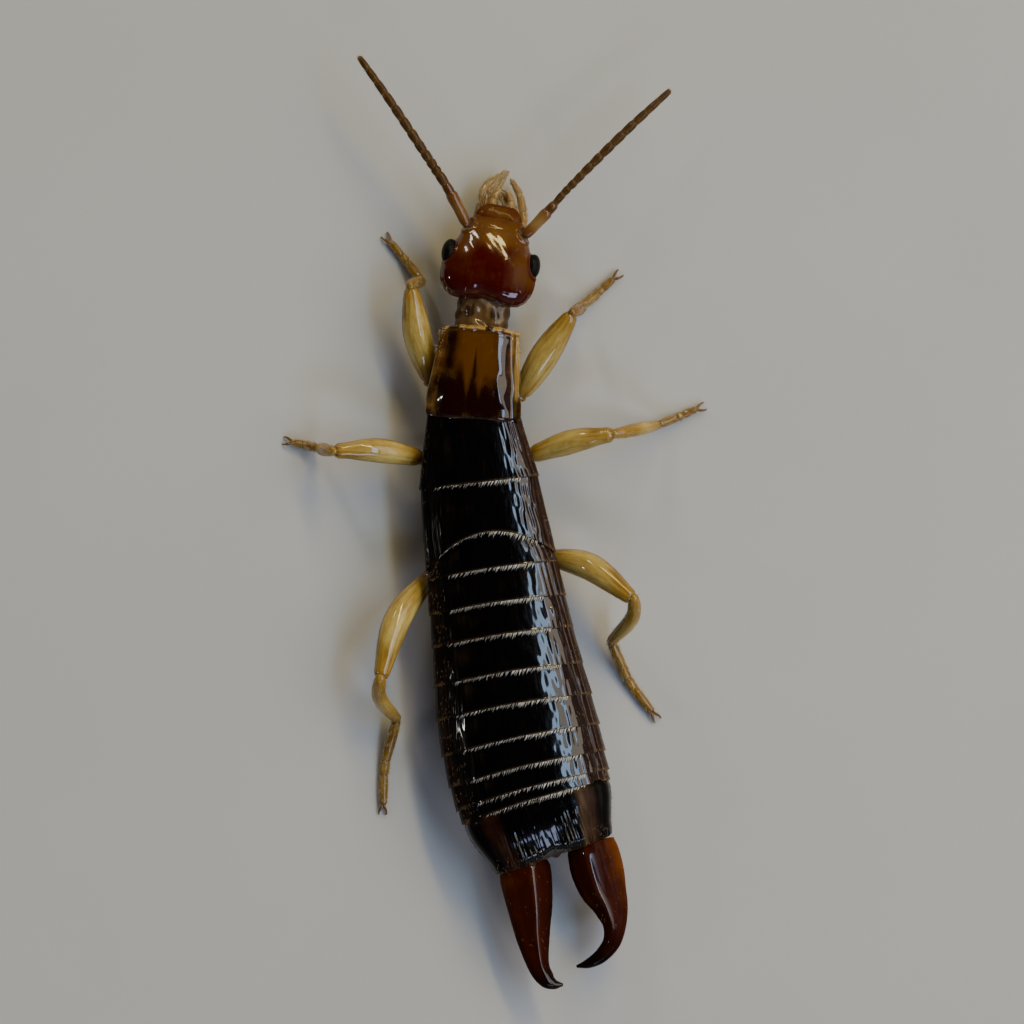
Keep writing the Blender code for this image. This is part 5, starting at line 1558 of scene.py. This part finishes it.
def make_floor():
    mesh = bpy.data.meshes.new("floor")
    corners = [(x * FLOOR_REACH, y * FLOOR_REACH, 0) for x, y in ((-1, -1), (1, -1), (1, 1), (-1, 1))]
    mesh.from_pydata(corners, [], [(0, 1, 2, 3)])
    floor = bpy.data.objects.new("floor", mesh)
    bpy.context.scene.collection.objects.link(floor)
    material, tree, shader = new_finish("pale_floor")
    spot = add(tree, "ShaderNodeTexCoord").outputs["Object"]
    share = ramped(tree, noise(tree, spot, 90.0, 4.0), 0.3, 0.7)
    colour = blended(tree, share, (0.56, 0.55, 0.525, 1), (0.58, 0.57, 0.545, 1))
    feed(tree, shader, {"Base Color": colour, "Roughness": 0.7})
    mesh.materials.append(material)


# Each soft panel's place and size in metres, its power, its colour and its roll in degrees.
LIGHTS = (
    ("window_right", (0.196, 0.03, 0.170), (0.30, 0.115), 0.31, (1.0, 0.90, 0.76), 0),
    ("sky_right", (0.149, 0.00, 0.249), (0.24, 0.040), 0.28, (0.52, 0.72, 1.0), 0),
    ("window_front", (0.073, 0.200, 0.188), (0.022, 0.20), 0.32, (1.0, 0.80, 0.34), 48),
    ("sky_rear", (0.072, -0.207, 0.176), (0.12, 0.05), 0.15, (0.56, 0.66, 1.0), 0),
    ("front_left", (-0.10, 0.24, 0.14), (0.025, 0.06), 0.10, (1.0, 0.94, 0.82), 0),
    ("lamp_left", (-0.22, -0.02, 0.117), (0.010, 0.010), 0.03, (1.0, 0.96, 0.90), 0),
)


def make_light(name, place, size, power, colour, roll):
    light = bpy.data.lights.new(name, "AREA")
    light.shape = "RECTANGLE"
    light.size, light.size_y = size
    light.energy = power
    light.color = colour
    panel = bpy.data.objects.new(name, light)
    panel.location = place
    turned = Quaternion((0, 0, 1), math.radians(roll))
    panel.rotation_euler = ((-Vector(place)).to_track_quat("-Z", "Y") @ turned).to_euler()
    bpy.context.scene.collection.objects.link(panel)


def make_lights():
    for light in LIGHTS:
        make_light(*light)
    world = bpy.data.worlds.new("studio")
    bpy.context.scene.world = world
    world.use_nodes = True
    tree = world.node_tree
    spot = add(tree, "ShaderNodeTexCoord").outputs["Generated"]
    place = add(tree, "ShaderNodeSeparateXYZ", {0: spot}).outputs
    overhead = ramped(tree, place[2], 0.05, 0.80)
    leftwards = ramped(tree, place[0], 0.2, -0.8, 0.0, 0.95)
    shade = sums(tree, "MAXIMUM", overhead, leftwards)
    colour = blended(tree, shade, (0.22, 0.22, 0.22, 1), (0.012, 0.012, 0.014, 1))
    feed(tree, tree.nodes["Background"], {"Color": colour, "Strength": 1.0})


def make_camera():
    camera = bpy.data.cameras.new("camera")
    camera.lens = CAMERA_LENS
    camera.sensor_width = CAMERA_SENSOR
    camera.clip_start, camera.clip_end = 0.01, 10.0
    obj = bpy.data.objects.new("camera", camera)
    obj.location = Vector(CAMERA_PLACE) * MM
    bpy.context.scene.collection.objects.link(obj)
    bpy.context.scene.camera = obj


def build():
    groups = {"grain": make_grain_group(), "tone": make_tone_group(), "gloss": make_gloss_group()}
    paint = {name: make_finish(name, groups) for name in FINISHES}
    paint["bristle_gold"] = make_bristle_finish("bristle_gold", (0.40, 0.27, 0.11), (0.62, 0.52, 0.33))
    paint["bristle_brown"] = make_bristle_finish("bristle_brown", (0.16, 0.08, 0.03), (0.36, 0.24, 0.12))
    paint["bristle_pale"] = make_bristle_finish("bristle_pale", (0.56, 0.53, 0.46), (0.80, 0.78, 0.72))
    paint["eye_lens"] = make_eye_finish()
    for make in (
        make_head, make_eyes, make_mouthparts, make_palps, make_antennae, make_neck, make_prothorax,
        make_back_plates, make_abdomen, make_trunk_skin, make_tail, make_forceps,
    ):
        make(paint)
    for k, (name, joints) in enumerate(LEGS.items()):
        make_leg(name, joints, paint, 300 + 30 * k)
    make_floor()
    make_lights()
    make_camera()


build()
